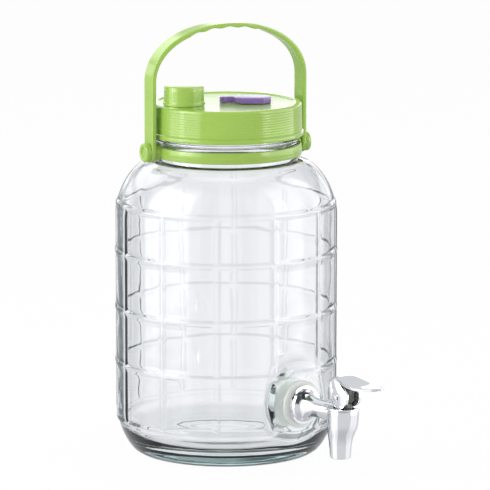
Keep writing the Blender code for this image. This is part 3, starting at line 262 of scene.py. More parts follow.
class StudioSettings(bpy.types.PropertyGroup):
    """Camera and light"""
    azimuth: FloatProperty(name="Azimuth", description="Direction that the camera looks in", subtype="ANGLE",
                           default=math.radians(FRONT_AZIMUTH))
    elevation: FloatProperty(name="Elevation", description="Height of the camera above the horizon",
                             subtype="ANGLE", default=math.radians(10.067))
    distance: FloatProperty(name="Distance", description="From the camera to the middle of the jar",
                            default=4.06535, unit="LENGTH")
    target_height: FloatProperty(name="Target height", description="Height that the camera looks at",
                                 default=0.19, unit="LENGTH")
    lens: FloatProperty(name="Lens", description="Focal length in millimetres", default=324.54)
    ambient: FloatProperty(name="Ambient", description="Strength of the light from all round", default=0.74)
    key: FloatProperty(name="Key light", description="Power of the large light at the left", subtype="POWER",
                       default=14.0)
    fill: FloatProperty(name="Fill light", description="Power of the light at the right", subtype="POWER",
                        default=5.0)
    top: FloatProperty(name="Top light", description="Power of the light overhead", subtype="POWER", default=6.0)


# Shader trees

class Value:
    """A socket of a shader tree; arithmetic on it adds Math nodes."""

    def __init__(self, finish, socket):
        self.finish = finish
        self.socket = socket

    def math(self, operation, *others):
        """Work out an operation of the Math node."""
        sockets = dict(enumerate([self, *others]))
        return self.finish.add("ShaderNodeMath", {"operation": operation}, sockets)[0]

    def __add__(self, other):
        return self.math("ADD", other)

    __radd__ = __add__

    def __mul__(self, other):
        return self.math("MULTIPLY", other)

    __rmul__ = __mul__

    def __sub__(self, other):
        return self.math("SUBTRACT", other)

    def __rsub__(self, other):
        return (self * -1) + other

    def ramp(self, low, high, start=0.0, end=1.0):
        """Go smoothly from start at low to end at high."""
        settings = {"interpolation_type": "SMOOTHSTEP"}
        return self.finish.add("ShaderNodeMapRange", settings, {0: self, 1: low, 2: high, 3: start, 4: end})[0]


class Outputs:
    """The outputs of a node as values, by number or by name."""

    def __init__(self, finish, node):
        self.finish = finish
        self.node = node

    def __getitem__(self, name):
        return Value(self.finish, self.node.outputs[name])


class Finish:
    """A shader tree that one method fills with nodes."""

    def __init__(self, tree):
        self.tree = tree
        tree.nodes.clear()

    def add(self, kind, settings=None, sockets=None):
        """Add a node with its settings and the values or links of its sockets, and return its outputs."""
        node = self.tree.nodes.new(kind)
        for name, value in (settings or {}).items():
            setattr(node, name, value)
        for name, value in (sockets or {}).items():
            if isinstance(value, Value):
                self.tree.links.new(value.socket, node.inputs[name])
            else:
                node.inputs[name].default_value = value
        return Outputs(self, node)

    def mix(self, factor, first, second):
        """Mix two colours."""
        return self.add("ShaderNodeMix", {"data_type": "RGBA"}, {0: factor, 6: first, 7: second})[2]

    def place(self, scale=(1, 1, 1), rotation=(0, 0, 0)):
        """Object coordinates through a Mapping node."""
        coordinates = self.add("ShaderNodeTexCoord")["Object"]
        return self.add("ShaderNodeMapping", None, {"Vector": coordinates, "Scale": scale,
                                                    "Rotation": rotation})[0]

    def noise(self, vector, scale, detail=3.0, roughness=0.5):
        """A cloudy pattern."""
        return self.add("ShaderNodeTexNoise", None, {"Vector": vector, "Scale": scale, "Detail": detail,
                                                     "Roughness": roughness})[0]

    def bump(self, height, strength, distance):
        """A normal that follows a height."""
        return self.add("ShaderNodeBump", None, {"Height": height, "Strength": strength, "Distance": distance})[0]

    def coat_with(self, sockets):
        """Finish the tree with a Principled shader."""
        shader = self.add("ShaderNodeBsdfPrincipled", None, sockets)[0]
        self.add("ShaderNodeOutputMaterial", None, {"Surface": shader})


def new_finish(name):
    """An empty material with its shader tree."""
    material = bpy.data.materials.new("finish_" + name)
    material.use_nodes = True
    return material, Finish(material.node_tree)


def grey(value):
    """An opaque grey."""
    return (value, value, value, 1)


def toned(colour, share):
    """A colour with its parts scaled, as a socket takes it."""
    return (*(min(part * share, 1) for part in colour), 1)


# Finishes

def glass_finish(name, colour):
    """Clear glass: nearly colourless where thin, blue-green where thick, with a faintly rippled skin."""
    material, finish = new_finish(name)
    vector = finish.place()
    ripple = finish.noise(vector, 26.0, 2.0)
    drawn = finish.noise(finish.place(scale=(1, 1, 0.25)), 60.0, 1.0)
    normal = finish.bump(ripple * 0.7 + drawn * 0.3, 0.35, 0.0009)
    seed = finish.noise(vector, 420.0, 1.0).ramp(0.74, 0.80)
    tint = finish.mix(finish.noise(vector, 9.0, 2.0), (0.992, 0.991, 0.996, 1), (0.984, 0.984, 0.991, 1))
    shader = finish.add("ShaderNodeBsdfPrincipled", None, {
        "Base Color": tint, "Roughness": seed * 0.03 + 0.004, "IOR": 1.5, "Transmission Weight": 1.0,
        "Normal": normal})[0]
    clear = finish.add("ShaderNodeBsdfTransparent", None, {"Color": (0.94, 0.955, 0.96, 1)})[0]
    shadow = finish.add("ShaderNodeLightPath")["Is Shadow Ray"]
    mixed = finish.add("ShaderNodeMixShader", None, {0: shadow, 1: shader, 2: clear})[0]
    depth = finish.add("ShaderNodeVolumeAbsorption", None, {
        "Color": (*colour, 1), "Density": bpy.context.scene.jar_colours.glass_depth})[0]
    finish.add("ShaderNodeOutputMaterial", None, {"Surface": mixed, "Volume": depth})
    return material


def plastic_finish(name, colour, gloss, marks=0.05, matt_disc=0.0):
    """Moulded plastic: slight flow marks in the colour, fine grain, faint rubbing and perhaps a matt lid top."""
    material, finish = new_finish(name)
    vector = finish.place()
    flow = finish.noise(finish.place(scale=(1, 1, 3)), 14.0, 3.0)
    tone = finish.mix(flow.ramp(0.3, 0.7), toned(colour, 1 - marks), toned(colour, 1 + marks))
    rubbed = finish.noise(vector, 45.0, 3.0, 0.6).ramp(0.42, 0.72)
    coat = {}
    if matt_disc:
        parts = finish.add("ShaderNodeSeparateXYZ", None, {0: vector})
        radius = (parts[0] * parts[0] + parts[1] * parts[1]).math("SQRT")
        disc = radius.ramp(matt_disc, matt_disc + 0.002, 1.0, 0.0) * parts[2].ramp(LID_TOP - 0.002, LID_TOP)
        rubbed = rubbed + disc * 3.6
        coat = {"Coat Weight": disc, "Coat Roughness": 0.32}
    fine = finish.noise(vector, 900.0, 2.0)
    soft = finish.noise(vector, 30.0, 1.0)
    finish.coat_with({"Base Color": tone, "Roughness": rubbed * 0.05 + gloss, "IOR": 1.5,
                      "Normal": finish.bump(fine * 0.1 + soft * 1.5, 0.5, 0.00001), **coat})
    return material


def chrome_finish(name, colour):
    """Bright plating over a polished casting: faint waviness, fine wiping marks and a few dull spots."""
    material, finish = new_finish(name)
    vector = finish.place()
    wave = finish.noise(vector, 55.0, 2.0)
    wiped = finish.noise(finish.place(scale=(1, 1, 9), rotation=(0.5, 0.2, 0.4)), 260.0, 3.0, 0.6)
    spots = finish.noise(vector, 130.0, 3.0).ramp(0.55, 0.75)
    finish.coat_with({"Base Color": finish.mix(spots, toned(colour, 1), toned(colour, 0.92)), "Metallic": 1.0,
                      "Roughness": spots * 0.05 + wiped * 0.05 + 0.02,
                      "Normal": finish.bump(wave * 1.2 + wiped * 0.05, 0.5, 0.00025)})
    return material


def steel_finish(name, colour):
    """Drawn steel wire and rod."""
    material, finish = new_finish(name)
    drawn = finish.noise(finish.place(scale=(1, 1, 0.06)), 700.0, 3.0)
    finish.coat_with({"Base Color": finish.mix(drawn, toned(colour, 1), toned(colour, 0.8)), "Metallic": 1.0,
                      "Roughness": drawn * 0.2 + 0.14, "Normal": finish.bump(drawn, 0.4, 0.00003)})
    return material


def silicone_finish(name, colour, painted_glow, shade=1.0):
    """Milky silicone: soft, slightly clouded, with a dusty sheen, and a painted glow from emission in its own tone
    that brightens it where little light reaches it.
    """
    material, finish = new_finish(name)
    cloud = finish.noise(finish.place(), 70.0, 3.0)
    tone = finish.mix(cloud.ramp(0.3, 0.7), toned(colour, shade), toned(colour, shade * 1.07))
    dust = finish.noise(finish.place(), 700.0, 2.0)
    # The emission in the silicone's own tone is painted light: a glow, though the silicone is no lamp
    finish.coat_with({"Base Color": tone, "Roughness": dust * 0.18 + 0.30, "IOR": 1.41,
                      "Emission Color": tone, "Emission Strength": painted_glow,
                      "Normal": finish.bump(dust, 0.25, 0.00004)})
    return material


# How each finish is made, in which of the colours, and with which settings
FINISHES = {
    "clear_glass": (glass_finish, "glass", {}),
    "green_plastic": (plastic_finish, "green", {"gloss": 0.13}),
    "green_lid": (plastic_finish, "green", {"gloss": 0.11, "matt_disc": 0.0605}),
    "purple_plastic": (plastic_finish, "purple", {"gloss": 0.20, "marks": 0.08}),
    "black_plastic": (plastic_finish, "black", {"gloss": 0.28, "marks": 0.12}),
    "white_plastic": (plastic_finish, "white", {"gloss": 0.30, "marks": 0.02}),
    # The silicone finishes carry a painted glow from emission, strong on the inner parts and faint on the outer
    # washer
    "silicone": (silicone_finish, "silicone", {"painted_glow": 0.30}),
    "milky_silicone": (silicone_finish, "silicone", {"painted_glow": 0.04, "shade": 0.84}),
    "chrome": (chrome_finish, "chrome", {}),
    "steel": (steel_finish, "steel", {}),
}


def finish_for(name):
    """A finish, made when it is first asked for."""
    made = bpy.data.materials.get("finish_" + name)
    if made is None:
        maker, colour, settings = FINISHES[name]
        made = maker(name, getattr(bpy.context.scene.jar_colours, colour), **settings)
    return made


# Curves

def swell(share, roundness):
    """Height of a rounded quarter curve of unit size at a share of its length."""
    return (1 - min(max(share, 0), 1) ** roundness) ** (1 / roundness)


def hill(distance, half_width):
    """A smooth rise of unit height within half_width of nought."""
    share = min(abs(distance) / half_width, 1)
    return (1 - share * share) ** 2


def smooth(low, high, value):
    """Go smoothly from 0 at low to 1 at high."""
    share = min(max((value - low) / (high - low), 0), 1)
    return share * share * (3 - 2 * share)


def through(shares, position):
    """Height at a position on the smooth curve through (position, height) shares."""
    for index in range(len(shares) - 1):
        if position <= shares[index + 1][0]:
            break
    before = shares[max(index - 1, 0)]
    start, end = shares[index], shares[index + 1]
    after = shares[min(index + 2, len(shares) - 1)]
    span = end[0] - start[0]
    part = (position - start[0]) / span
    rise_start = (end[1] - before[1]) / (end[0] - before[0]) * span
    rise_end = (after[1] - start[1]) / (after[0] - start[0]) * span
    return ((2 * part ** 3 - 3 * part ** 2 + 1) * start[1] + (part ** 3 - 2 * part ** 2 + part) * rise_start
            + (3 * part ** 2 - 2 * part ** 3) * end[1] + (part ** 3 - part ** 2) * rise_end)


def steps_between(low, high, spacing):
    """Evenly spaced values from low up to, but not with, high."""
    count = max(round((high - low) / spacing), 1)
    return [low + (high - low) * index / count for index in range(count)]


# Shapes

def outline_wire(outline, closed, segments=4):
    """A wire in the XZ plane through (across, height, rounding) points, with its corners rounded."""
    shape = bmesh.new()
    corners = [shape.verts.new((across, 0, height)) for across, height, _ in outline]
    pairs = list(zip(corners, corners[1:]))
    if closed:
        pairs.append((corners[-1], corners[0]))
    for first, second in pairs:
        shape.edges.new((first, second))
    for rounding in sorted({point[2] for point in outline if point[2] > 0}):
        group = [corner for corner, point in zip(corners, outline) if point[2] == rounding]
        bmesh.ops.bevel(shape, geom=group, offset=rounding, offset_type="OFFSET", affect="VERTICES",
                        segments=segments, profile=0.5, material=-1)
    return shape


def turned(outline, steps, segments=4):
    """Spin an outline about Z; one that starts away from the axis is closed to a ring."""
    shape = outline_wire(outline, outline[0][0] > 0, segments)
    bmesh.ops.spin(shape, geom=shape.verts[:] + shape.edges[:], cent=(0, 0, 0), axis=(0, 0, 1), dvec=(0, 0, 0),
                   angle=2 * math.pi, steps=steps, use_merge=True, use_normal_flip=False, use_duplicate=False)
    bmesh.ops.remove_doubles(shape, verts=shape.verts, dist=WELD)
    bmesh.ops.recalc_face_normals(shape, faces=shape.faces)
    return shape


def flat_sided(outline, steps, half):
    """A turned shape cut down to flats at both sides."""
    shape = turned(outline, steps)
    for side, _ in SIDES:
        cut = bmesh.ops.bisect_plane(shape, geom=shape.verts[:] + shape.edges[:] + shape.faces[:],
                                     plane_co=(side * half, 0, 0), plane_no=(side, 0, 0), clear_outer=True)
        rim = [item for item in cut["geom_cut"] if isinstance(item, bmesh.types.BMEdge)]
        bmesh.ops.holes_fill(shape, edges=rim, sides=0)
    bmesh.ops.recalc_face_normals(shape, faces=shape.faces)
    return shape


def round_bar(radius, bottom, top, place, steps=48, rounding=0.0):
    """A turned bar between two heights, in its place."""
    shape = turned([(0, top, 0), (radius, top, rounding), (radius, bottom, rounding), (0, bottom, 0)], steps)
    bmesh.ops.transform(shape, matrix=place, verts=shape.verts)
    return shape


def plate(outline, depth, rounding, segments=3):
    """Fill an outline in the XZ plane, make it solid to both sides of that plane and round its edges."""
    shape = outline_wire(outline, closed=True)
    bmesh.ops.remove_doubles(shape, verts=shape.verts, dist=WELD)
    face = bmesh.ops.contextual_create(shape, geom=shape.edges[:])["faces"]
    bmesh.ops.translate(shape, verts=shape.verts, vec=(0, -depth / 2, 0))
    grown = bmesh.ops.extrude_face_region(shape, geom=face)["geom"]
    moved = [item for item in grown if isinstance(item, bmesh.types.BMVert)]
    bmesh.ops.translate(shape, verts=moved, vec=(0, depth, 0))
    bmesh.ops.recalc_face_normals(shape, faces=shape.faces)
    round_edges(shape, rounding, segments)
    return shape


def round_edges(shape, width, segments=3):
    """Bevel the sharp edges of a shape."""
    sharp = [edge for edge in shape.edges if len(edge.link_faces) == 2 and edge.calc_face_angle(0) > EDGE_ANGLE]
    bmesh.ops.bevel(shape, geom=sharp, offset=width, offset_type="OFFSET", affect="EDGES", segments=segments,
                    profile=0.5, material=-1, clamp_overlap=True)


def new_object(shape, name):
    """Write a shape to an object in the scene."""
    mesh = bpy.data.meshes.new(name)
    shape.to_mesh(mesh)
    shape.free()
    piece = bpy.data.objects.new(name, mesh)
    bpy.context.scene.collection.objects.link(piece)
    return piece


def show(shape, name, node, place=None, finish=None):
    """Write a shape to a piece in its place, with the finish and the body of the part that it stands for."""
    slot, body = PARTS[node]
    if place is not None:
        bmesh.ops.transform(shape, matrix=place, verts=shape.verts)
    piece = new_object(shape, name)
    piece.data.polygons.foreach_set("use_smooth", [True] * len(piece.data.polygons))
    piece.data.set_sharp_from_angle(angle=SHARP_ANGLE)
    piece.data.materials.append(finish_for(finish or slot))
    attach(piece, body)
    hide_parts(node)
    return piece


def carve(piece, cutters, operation="DIFFERENCE", swept=False):
    """Cut other shapes out of a piece, or join them to it, and drop them."""
    for index, cutter in enumerate(cutters):
        tool = new_object(cutter, f"cutter{index}")
        modifier = piece.modifiers.new("Cut", "BOOLEAN")
        modifier.operation = operation
        modifier.solver = "EXACT"
        modifier.use_self = swept
        modifier.object = tool
        bpy.context.view_layer.update()
        graph = bpy.context.evaluated_depsgraph_get()
        done = bpy.data.meshes.new_from_object(piece.evaluated_get(graph))
        piece.modifiers.remove(modifier)
        bpy.data.objects.remove(tool, do_unlink=True)
        piece.data = done
    piece.data.set_sharp_from_angle(angle=SHARP_ANGLE)


# Jar

RIB_RINGS = (0.2319, 0.1876, 0.1351, 0.0845, 0.0316)
BAR_WIDTH_SHARE = 0.9
HEEL_ROUNDNESS = 1.5
SHOULDER_ROUNDNESS = 1.75
THREAD_PITCH = 0.008
THREAD_TURNS = 1.9
THREAD_HALF_WIDTH = 0.0019
THREAD_RAISE = 0.0015
THREAD_TOP = 0.0040
THREAD_FADE = 0.08
PAD_RADIUS = 0.0225
PAD_FACE = 0.1036
PAD_INSIDE_FACE = 0.0910
PAD_BLEND = 0.0140
PAD_INSIDE_BLEND = 0.0260
PAD_FOOT = 0.02
TAP_HOLE_RADIUS = 0.0085

# Ripples of the inner wall: strength and how many there are in a metre round it and up it, and the
# heights between which they fade out towards the floor and towards the neck
RIPPLES = ((1.0, 26, 17), (0.4, 70, 40))
FLOOR_CALM = (0.012, 0.030)
NECK_CALM = (0.300, 0.270)


def body_radius(jar, height):
    """Radius of the jar's outside between its ribs."""
    if height < jar.heel:
        share = swell(1 - height / jar.heel, HEEL_ROUNDNESS)
        return jar.stand_radius + (jar.body_radius - jar.stand_radius) * share
    share = swell((height - jar.shoulder_start) / jar.shoulder_height, SHOULDER_ROUNDNESS)
    return jar.shoulder_top + (jar.body_radius - jar.shoulder_top) * share


def jar_heights(jar):
    """Heights of the outside's points, closer together at the rings."""
    at_rings, between = 0.0008, 0.0028
    stops = [0.0]
    for ring in reversed(RIB_RINGS):
        stops += [ring - jar.rib_half_width, ring + jar.rib_half_width]
    stops.append(jar.shoulder_start + jar.shoulder_height)
    heights = []
    for index, (low, high) in enumerate(zip(stops, stops[1:])):
        heights += steps_between(low, high, at_rings if index % 2 else between)
    return heights + stops[-1:]


def jar_outline(jar):
    """Half section of the glass, from the middle of the floor over the rim to the middle of the base."""
    inner, bore = jar.body_radius - jar.wall, jar.neck_radius - jar.neck_wall
    heel_width, heel_height, crown = 0.024, 0.021, 0.002
    floor_steps, heel_steps, shoulder_steps, crowding = 8, 9, 14, 1.6
    flat = inner - heel_width
    outline = [(flat * index / floor_steps, jar.floor + crown * (1 - (index / floor_steps) ** 2), 0)
               for index in range(floor_steps)]
    outline += [(flat + heel_width * math.sin(turn), jar.floor + heel_height * (1 - math.cos(turn)), 0)
                for turn in (math.pi / 2 * index / heel_steps for index in range(heel_steps + 1))]
    wall_start, wall_spacing = jar.floor + heel_height, 0.006
    outline += [(inner, height, 0)
                for height in steps_between(wall_start, jar.shoulder_start, wall_spacing)[1:]]
    outline += [(bore + (inner - bore) * swell(share, SHOULDER_ROUNDNESS),
                 jar.shoulder_start + jar.shoulder_height * share, 0)
                for share in (1 - (1 - index / shoulder_steps) ** crowding for index in range(shoulder_steps + 1))]
    rim_rounding, rim_height = 0.0016, 0.003
    outline += [(bore, RIM, rim_rounding), (jar.neck_radius, RIM, rim_rounding)]
    bead, bead_bottom, bead_top = jar.neck_radius + 0.0026, COLLAR_TOP + 0.0027, COLLAR_TOP + 0.0062
    seat, shoulder_end = jar.neck_radius + 0.0007, jar.shoulder_start + jar.shoulder_height
    thread_spacing = 0.0009
    outline += [(jar.neck_radius, height, 0)
                for height in steps_between(RIM - rim_height, bead_top + 0.001, thread_spacing)]
    outline += [(jar.neck_radius, bead_top, 0.0004), (bead, bead_top, 0.0010), (bead, bead_bottom, 0.0010),
                (seat, bead_bottom, 0.0004), (seat, shoulder_end + 0.0016, 0.0010)]
    outline += [(body_radius(jar, height), height, 0) for height in reversed(jar_heights(jar))]
    inner_stand, rounding = jar.stand_radius - jar.stand_width, 0.0006
    return outline + [(inner_stand, 0, rounding), (inner_stand - jar.push_up, jar.push_up, rounding),
                      (inner_stand * 0.6, jar.push_up, 0), (0, jar.push_up, 0)]


def net_raise(jar, angle, height):
    """How far the net of ribs stands proud of the wall at a place."""
    ring = max(hill(height - ring_height, jar.rib_half_width) for ring_height in RIB_RINGS) * jar.rib_raise
    if not RIB_RINGS[-1] < height < RIB_RINGS[0]:
        return ring
    pitch = 2 * math.pi / jar.bars
    off = (angle + math.pi / 2) % pitch - pitch / 2
    bar = hill(off * jar.body_radius, jar.rib_half_width * BAR_WIDTH_SHARE) * jar.bar_raise
    return (ring ** 3 + bar ** 3) ** (1 / 3)


def thread_raise(angle, height):
    """How far the neck's screw thread stands proud at a place."""
    turn = (angle / (2 * math.pi)) % 1
    rise = 0.0
    for lap in range(math.ceil(THREAD_TURNS)):
        along = lap + turn
        if along < THREAD_TURNS:
            middle = RIM - THREAD_TOP - along * THREAD_PITCH
            ends = smooth(0, THREAD_FADE, along) * smooth(0, THREAD_FADE, THREAD_TURNS - along)
            rise = max(rise, ends * hill(height - middle, THREAD_HALF_WIDTH))
    return rise * THREAD_RAISE


def ripple_raise(jar, x, y, height):
    """How far the inner wall ripples at a place."""
    ripple = sum(strength * noise.noise(Vector((x * round_it, y * round_it, height * up_it)))
                 for strength, round_it, up_it in RIPPLES)
    return ripple * jar.waviness * smooth(*FLOOR_CALM, height) * smooth(*NECK_CALM, height)


def shape_glass(jar, shape):
    """Raise the ribs, the thread and the tap's pad, and ripple the inner wall."""
    shoulder_end = jar.shoulder_start + jar.shoulder_height
    thread_low, thread_high = COLLAR_TOP + 0.0075, RIM - 0.0025
    for vertex in shape.verts:
        x, y, height = vertex.co
        radius = math.hypot(x, y)
        if radius < WELD:
            continue
        angle = math.atan2(y, x)
        skin = jar.neck_radius if height > shoulder_end else body_radius(jar, height)
        outer = radius > skin - jar.neck_wall / 2
        if not outer:
            grow = ripple_raise(jar, x, y, height)
        elif thread_low < height < thread_high:
            grow = thread_raise(angle, height)
        else:
            grow = net_raise(jar, angle, height)
        x, y = x * (1 + grow / radius), y * (1 + grow / radius)
        off = math.hypot(x, height - TAP_AXIS_HEIGHT)
        face, blend = (-PAD_FACE, PAD_BLEND) if outer else (-PAD_INSIDE_FACE, PAD_INSIDE_BLEND)
        if y < 0 and off < PAD_RADIUS + blend and (height > PAD_FOOT if outer else y < face):
            y += (face - y) * smooth(PAD_RADIUS + blend, PAD_RADIUS - 0.001, off)
        vertex.co = (x, y, height)


def make_glass_jar():
    """Ribbed jar with a threaded neck and a flat pad with the tap's hole."""
    jar = bpy.context.scene.jar_sizes
    shape = turned(jar_outline(jar), jar.steps, segments=3)
    shape_glass(jar, shape)
    piece = show(shape, "jar_glass", "glass_jar")
    hole_start, hole_end = 0.085, 0.110
    carve(piece, [round_bar(TAP_HOLE_RADIUS, hole_start, hole_end, TAP_PLACE, 64)])


# Collar, handle and pivot caps

ARCH_ROUNDNESS = 2.13
STRAP_ROUNDING = 0.0012
EYE_HOLE_RADIUS = 0.0053


def pivot_place(side):
    """Turn Z to the handle's axis at one side of the collar."""
    return COLLAR_PLACE @ Matrix.Rotation(side * math.pi / 2, 4, "Y")


def make_neck_collar():
    """A flat band round the neck with a stud at each side that carries the handle."""
    low, high = -COLLAR_DROP, COLLAR_WIDTH - COLLAR_DROP
    inner, outer, step, third = 0.0660, 0.0695, 0.0002, COLLAR_WIDTH / 3
    band = [(inner, high, 0.0003), (outer - 0.0004, high, 0.0006), (outer, high - third, 0.0002),
            (outer + step, high - third - step, 0), (outer + step, low + third, 0.0002),
            (outer, low + third - step, 0), (outer, low, 0.0006), (inner, low, 0.0003)]
    show(turned(band, 160, segments=3), "collar_band", "neck_collar", COLLAR_PLACE)
    root, seat, tip = 0.0678, 0.0736, 0.0780
    hollow, peg, foot = 0.0028, 0.0050, 0.0078
    stud = [(hollow, tip, 0.0003), (peg, tip, 0.0005), (peg, seat, 0), (foot, seat, 0.0004),
            (foot + step, root, 0), (hollow, root, 0)]
    for side, label in SIDES:
        show(turned(stud, 48, segments=3), f"collar_stud_{label}", "neck_collar", pivot_place(side))


def make_pivot_caps():
    """Round caps with a raised rim round a dish, pegged into the studs."""
    seat, height, depth, peg_length = 0.0786, 0.0050, 0.0016, 0.0060
    dish, rim, radius, peg = 0.0044, 0.0050, 0.0088, 0.0025
    face = seat + height
    outline = [(0, face - depth, 0), (dish, face - depth, 0.0004), (rim, face, 0.0005), (radius, face, 0.0013),
               (radius, seat, 0.0003), (peg, seat, 0), (peg, seat - peg_length, 0.0005), (0, seat - peg_length, 0)]
    for side, label in SIDES:
        show(turned(outline, 64), f"pivot_button_{label}", f"pivot_cap_{label}", pivot_place(side))


def arch_point(handle, half_span, rise, turn):
    """Place on a rounded arch, from its right foot at no turn to its left foot at half a turn."""
    share = 2 / ARCH_ROUNDNESS
    across = math.copysign(abs(math.cos(turn)) ** share, math.cos(turn)) * half_span
    return across, handle.arch_start + rise * abs(math.sin(turn)) ** share


def strap_stations(handle):
    """Inner point, outer point and half width of the strap from its right eye over the grip to its left eye."""
    inside, radius = handle.outside - handle.strap, handle.eye_radius
    eye_steps, eye_points, leg_foot, leg_spacing = 34, 23, 0.0045, 0.005
    foot = [-radius * math.cos(math.pi * (index + 0.35) / eye_steps) for index in range(eye_points)]
    foot += steps_between(leg_foot, handle.arch_start, leg_spacing)
    straight = math.sqrt(radius ** 2 - handle.half_width ** 2)
    leg = []
    for height in foot:
        wide = math.sqrt(max(radius ** 2 - height ** 2, 0)) if height < straight else handle.half_width
        leg.append(((inside, height), (handle.outside, height), wide))
    arch, arch_steps = [], 160
    rise = HANDLE_HIGH.z - PIVOT.z - handle.arch_start
    half_grip = handle.waves * handle.wave_length / 2
    for index in range(arch_steps + 1):
        turn = math.pi * index / arch_steps
        across, height = arch_point(handle, inside, rise - handle.strap, turn)
        if abs(across) < half_grip:
            wave = math.cos(2 * math.pi * (across + half_grip) / handle.wave_length)
            height += handle.wave_depth * (1 - wave) / 2
        arch.append(((across, height), arch_point(handle, handle.outside, rise, turn), handle.half_width))
    back = [((-inner[0], inner[1]), (-outer[0], outer[1]), wide) for inner, outer, wide in reversed(leg)]
    return leg + arch + back


def strap_section(strap, half_width):
    """Points round the strap's section as distances across it and shares of its thickness."""
    rounding = min(STRAP_ROUNDING, half_width * 0.9)
    flat = half_width - rounding
    points = []
    for quarter, (side, top) in enumerate(((1, 1), (-1, 1), (-1, 0), (1, 0))):
        for step in range(6):
            turn = math.pi / 2 * (quarter + step / 5)
            points.append((side * flat + rounding * math.cos(turn),
                           abs(top - rounding / strap) + rounding / strap * math.sin(turn)))
        if quarter in (0, 2):
            points += [(side * flat * share, top) for share in (0.97, 0.5, 0, -0.5, -0.97)]
    return points


def make_bail_handle():
    """A broad strap bent to an arch, with finger waves under the grip and a round eye at each end."""
    handle = bpy.context.scene.jar_handle
    stations = strap_stations(handle)
    sections = {wide: strap_section(handle.strap, wide) for _, _, wide in stations}
    round_it, along_it = len(sections[handle.half_width]), len(stations) - 1
    shape = bmesh.new()
    bmesh.ops.create_grid(shape, x_segments=round_it, y_segments=along_it, size=1)
    for vertex in shape.verts:
        corner = round((vertex.co.x + 1) / 2 * round_it) % round_it
        inner, outer, wide = stations[round((vertex.co.y + 1) / 2 * along_it)]
        across, share = sections[wide][corner]
        vertex.co = (inner[0] + (outer[0] - inner[0]) * share, across, inner[1] + (outer[1] - inner[1]) * share)
    bmesh.ops.remove_doubles(shape, verts=shape.verts, dist=WELD)
    bmesh.ops.holes_fill(shape, edges=[edge for edge in shape.edges if len(edge.link_faces) == 1], sides=0)
    bmesh.ops.recalc_face_normals(shape, faces=shape.faces)
    piece = show(shape, "handle_strap", "bail_handle", COLLAR_PLACE)
    start, end = handle.outside - handle.strap - OVERRUN, handle.outside + OVERRUN
    carve(piece, [round_bar(EYE_HOLE_RADIUS, start, end, pivot_place(side)) for side, _ in SIDES], swept=True)


# Lid, spout, cap and vent plug

# Corners of one fine ring of the skirt: share of the ring's height and how far it stands proud there
SKIRT_RING = ((0.12, 0.00005), (0.42, 0.00006), (0.62, 0), (0.92, 0))
SKIRT_TAPER = 0.00005


def make_screw_lid():
    """Lid with a sunk top, a rounded rim and fine rings down its skirt, and a spout that stands on it."""
    lid = bpy.context.scene.jar_lid
    rim, under = LID_TOP + 0.0012, GASKET_HIGH.z + GAP
    outline = [(0, LID_TOP, 0), (lid.radius - 0.0070, LID_TOP, 0.0008), (lid.radius - 0.0058, rim, 0.0006),
               (lid.radius, rim, 0.0022)]
    skirt_top, flange_top = rim - 0.0026, LID_LOW.z + lid.flange_height
    drop = (skirt_top - flange_top) / lid.rings
    for index in range(lid.rings):
        outline += [(lid.radius + index * SKIRT_TAPER + proud, skirt_top - (index + share) * drop, 0)
                    for share, proud in SKIRT_RING]
    outline += [(lid.radius + lid.rings * SKIRT_TAPER, flange_top + 0.0004, 0.0002),
                (lid.flange_radius, flange_top - 0.0006, 0.0006), (lid.flange_radius, LID_LOW.z, 0.0006),
                (lid.inner_radius, LID_LOW.z, 0.0004), (lid.inner_radius, under, 0.0006), (0, under, 0)]
    piece = show(turned(outline, 180), "lid_shell", "screw_lid", finish="green_lid")
    vent_radius, low, high = 0.0043, under - OVERRUN, LID_TOP + OVERRUN
    carve(piece, [round_bar(vent_radius, low, high, Matrix.Translation((VENT_X, VENT_Y, 0)), 32),
                  round_bar(lid.spout_bore, low, high, SPOUT_PLACE, 64)])
    foot, foot_top, foot_bottom = 0.0187, LID_TOP + 0.0025, LID_TOP - 0.0006
    spout = [(lid.spout_bore, LID_HIGH.z, 0.0008), (lid.spout_radius, LID_HIGH.z, 0.0008),
             (lid.spout_radius, foot_top, 0.0006), (foot, foot_top, 0.0005), (foot, foot_bottom, 0),
             (lid.spout_bore, foot_bottom, 0)]
    show(turned(spout, 96), "lid_spout", "screw_lid", SPOUT_PLACE)


def make_spout_cap():
    """Slightly conical cap with a low flange and fine rings down its side."""
    lid = bpy.context.scene.jar_lid
    top, low, spacing, taper = CAP_HIGH.z, CAP_LOW.z, 0.0028, 0.00008
    outline = [(0, top, 0), (lid.cap_radius, top, 0.0012)]
    for index in range(1, lid.cap_rings + 1):
        height, radius = top - 0.0010 - index * spacing, lid.cap_radius + index * taper
        outline += [(radius, height + 0.00015, 0), (radius + 0.00012, height, 0)]
    side, flange, inner, under = lid.cap_radius + 0.0004, lid.cap_radius + 0.0011, 0.0156, top - 0.0022
    outline += [(side, low + 0.0034, 0.0003), (flange, low + 0.0026, 0.0003), (flange, low, 0.0005),
                (inner, low, 0.0004), (inner, under, 0.0006), (0, under, 0)]
    show(turned(outline, 96), "cap_shell", "spout_cap", SPOUT_PLACE)


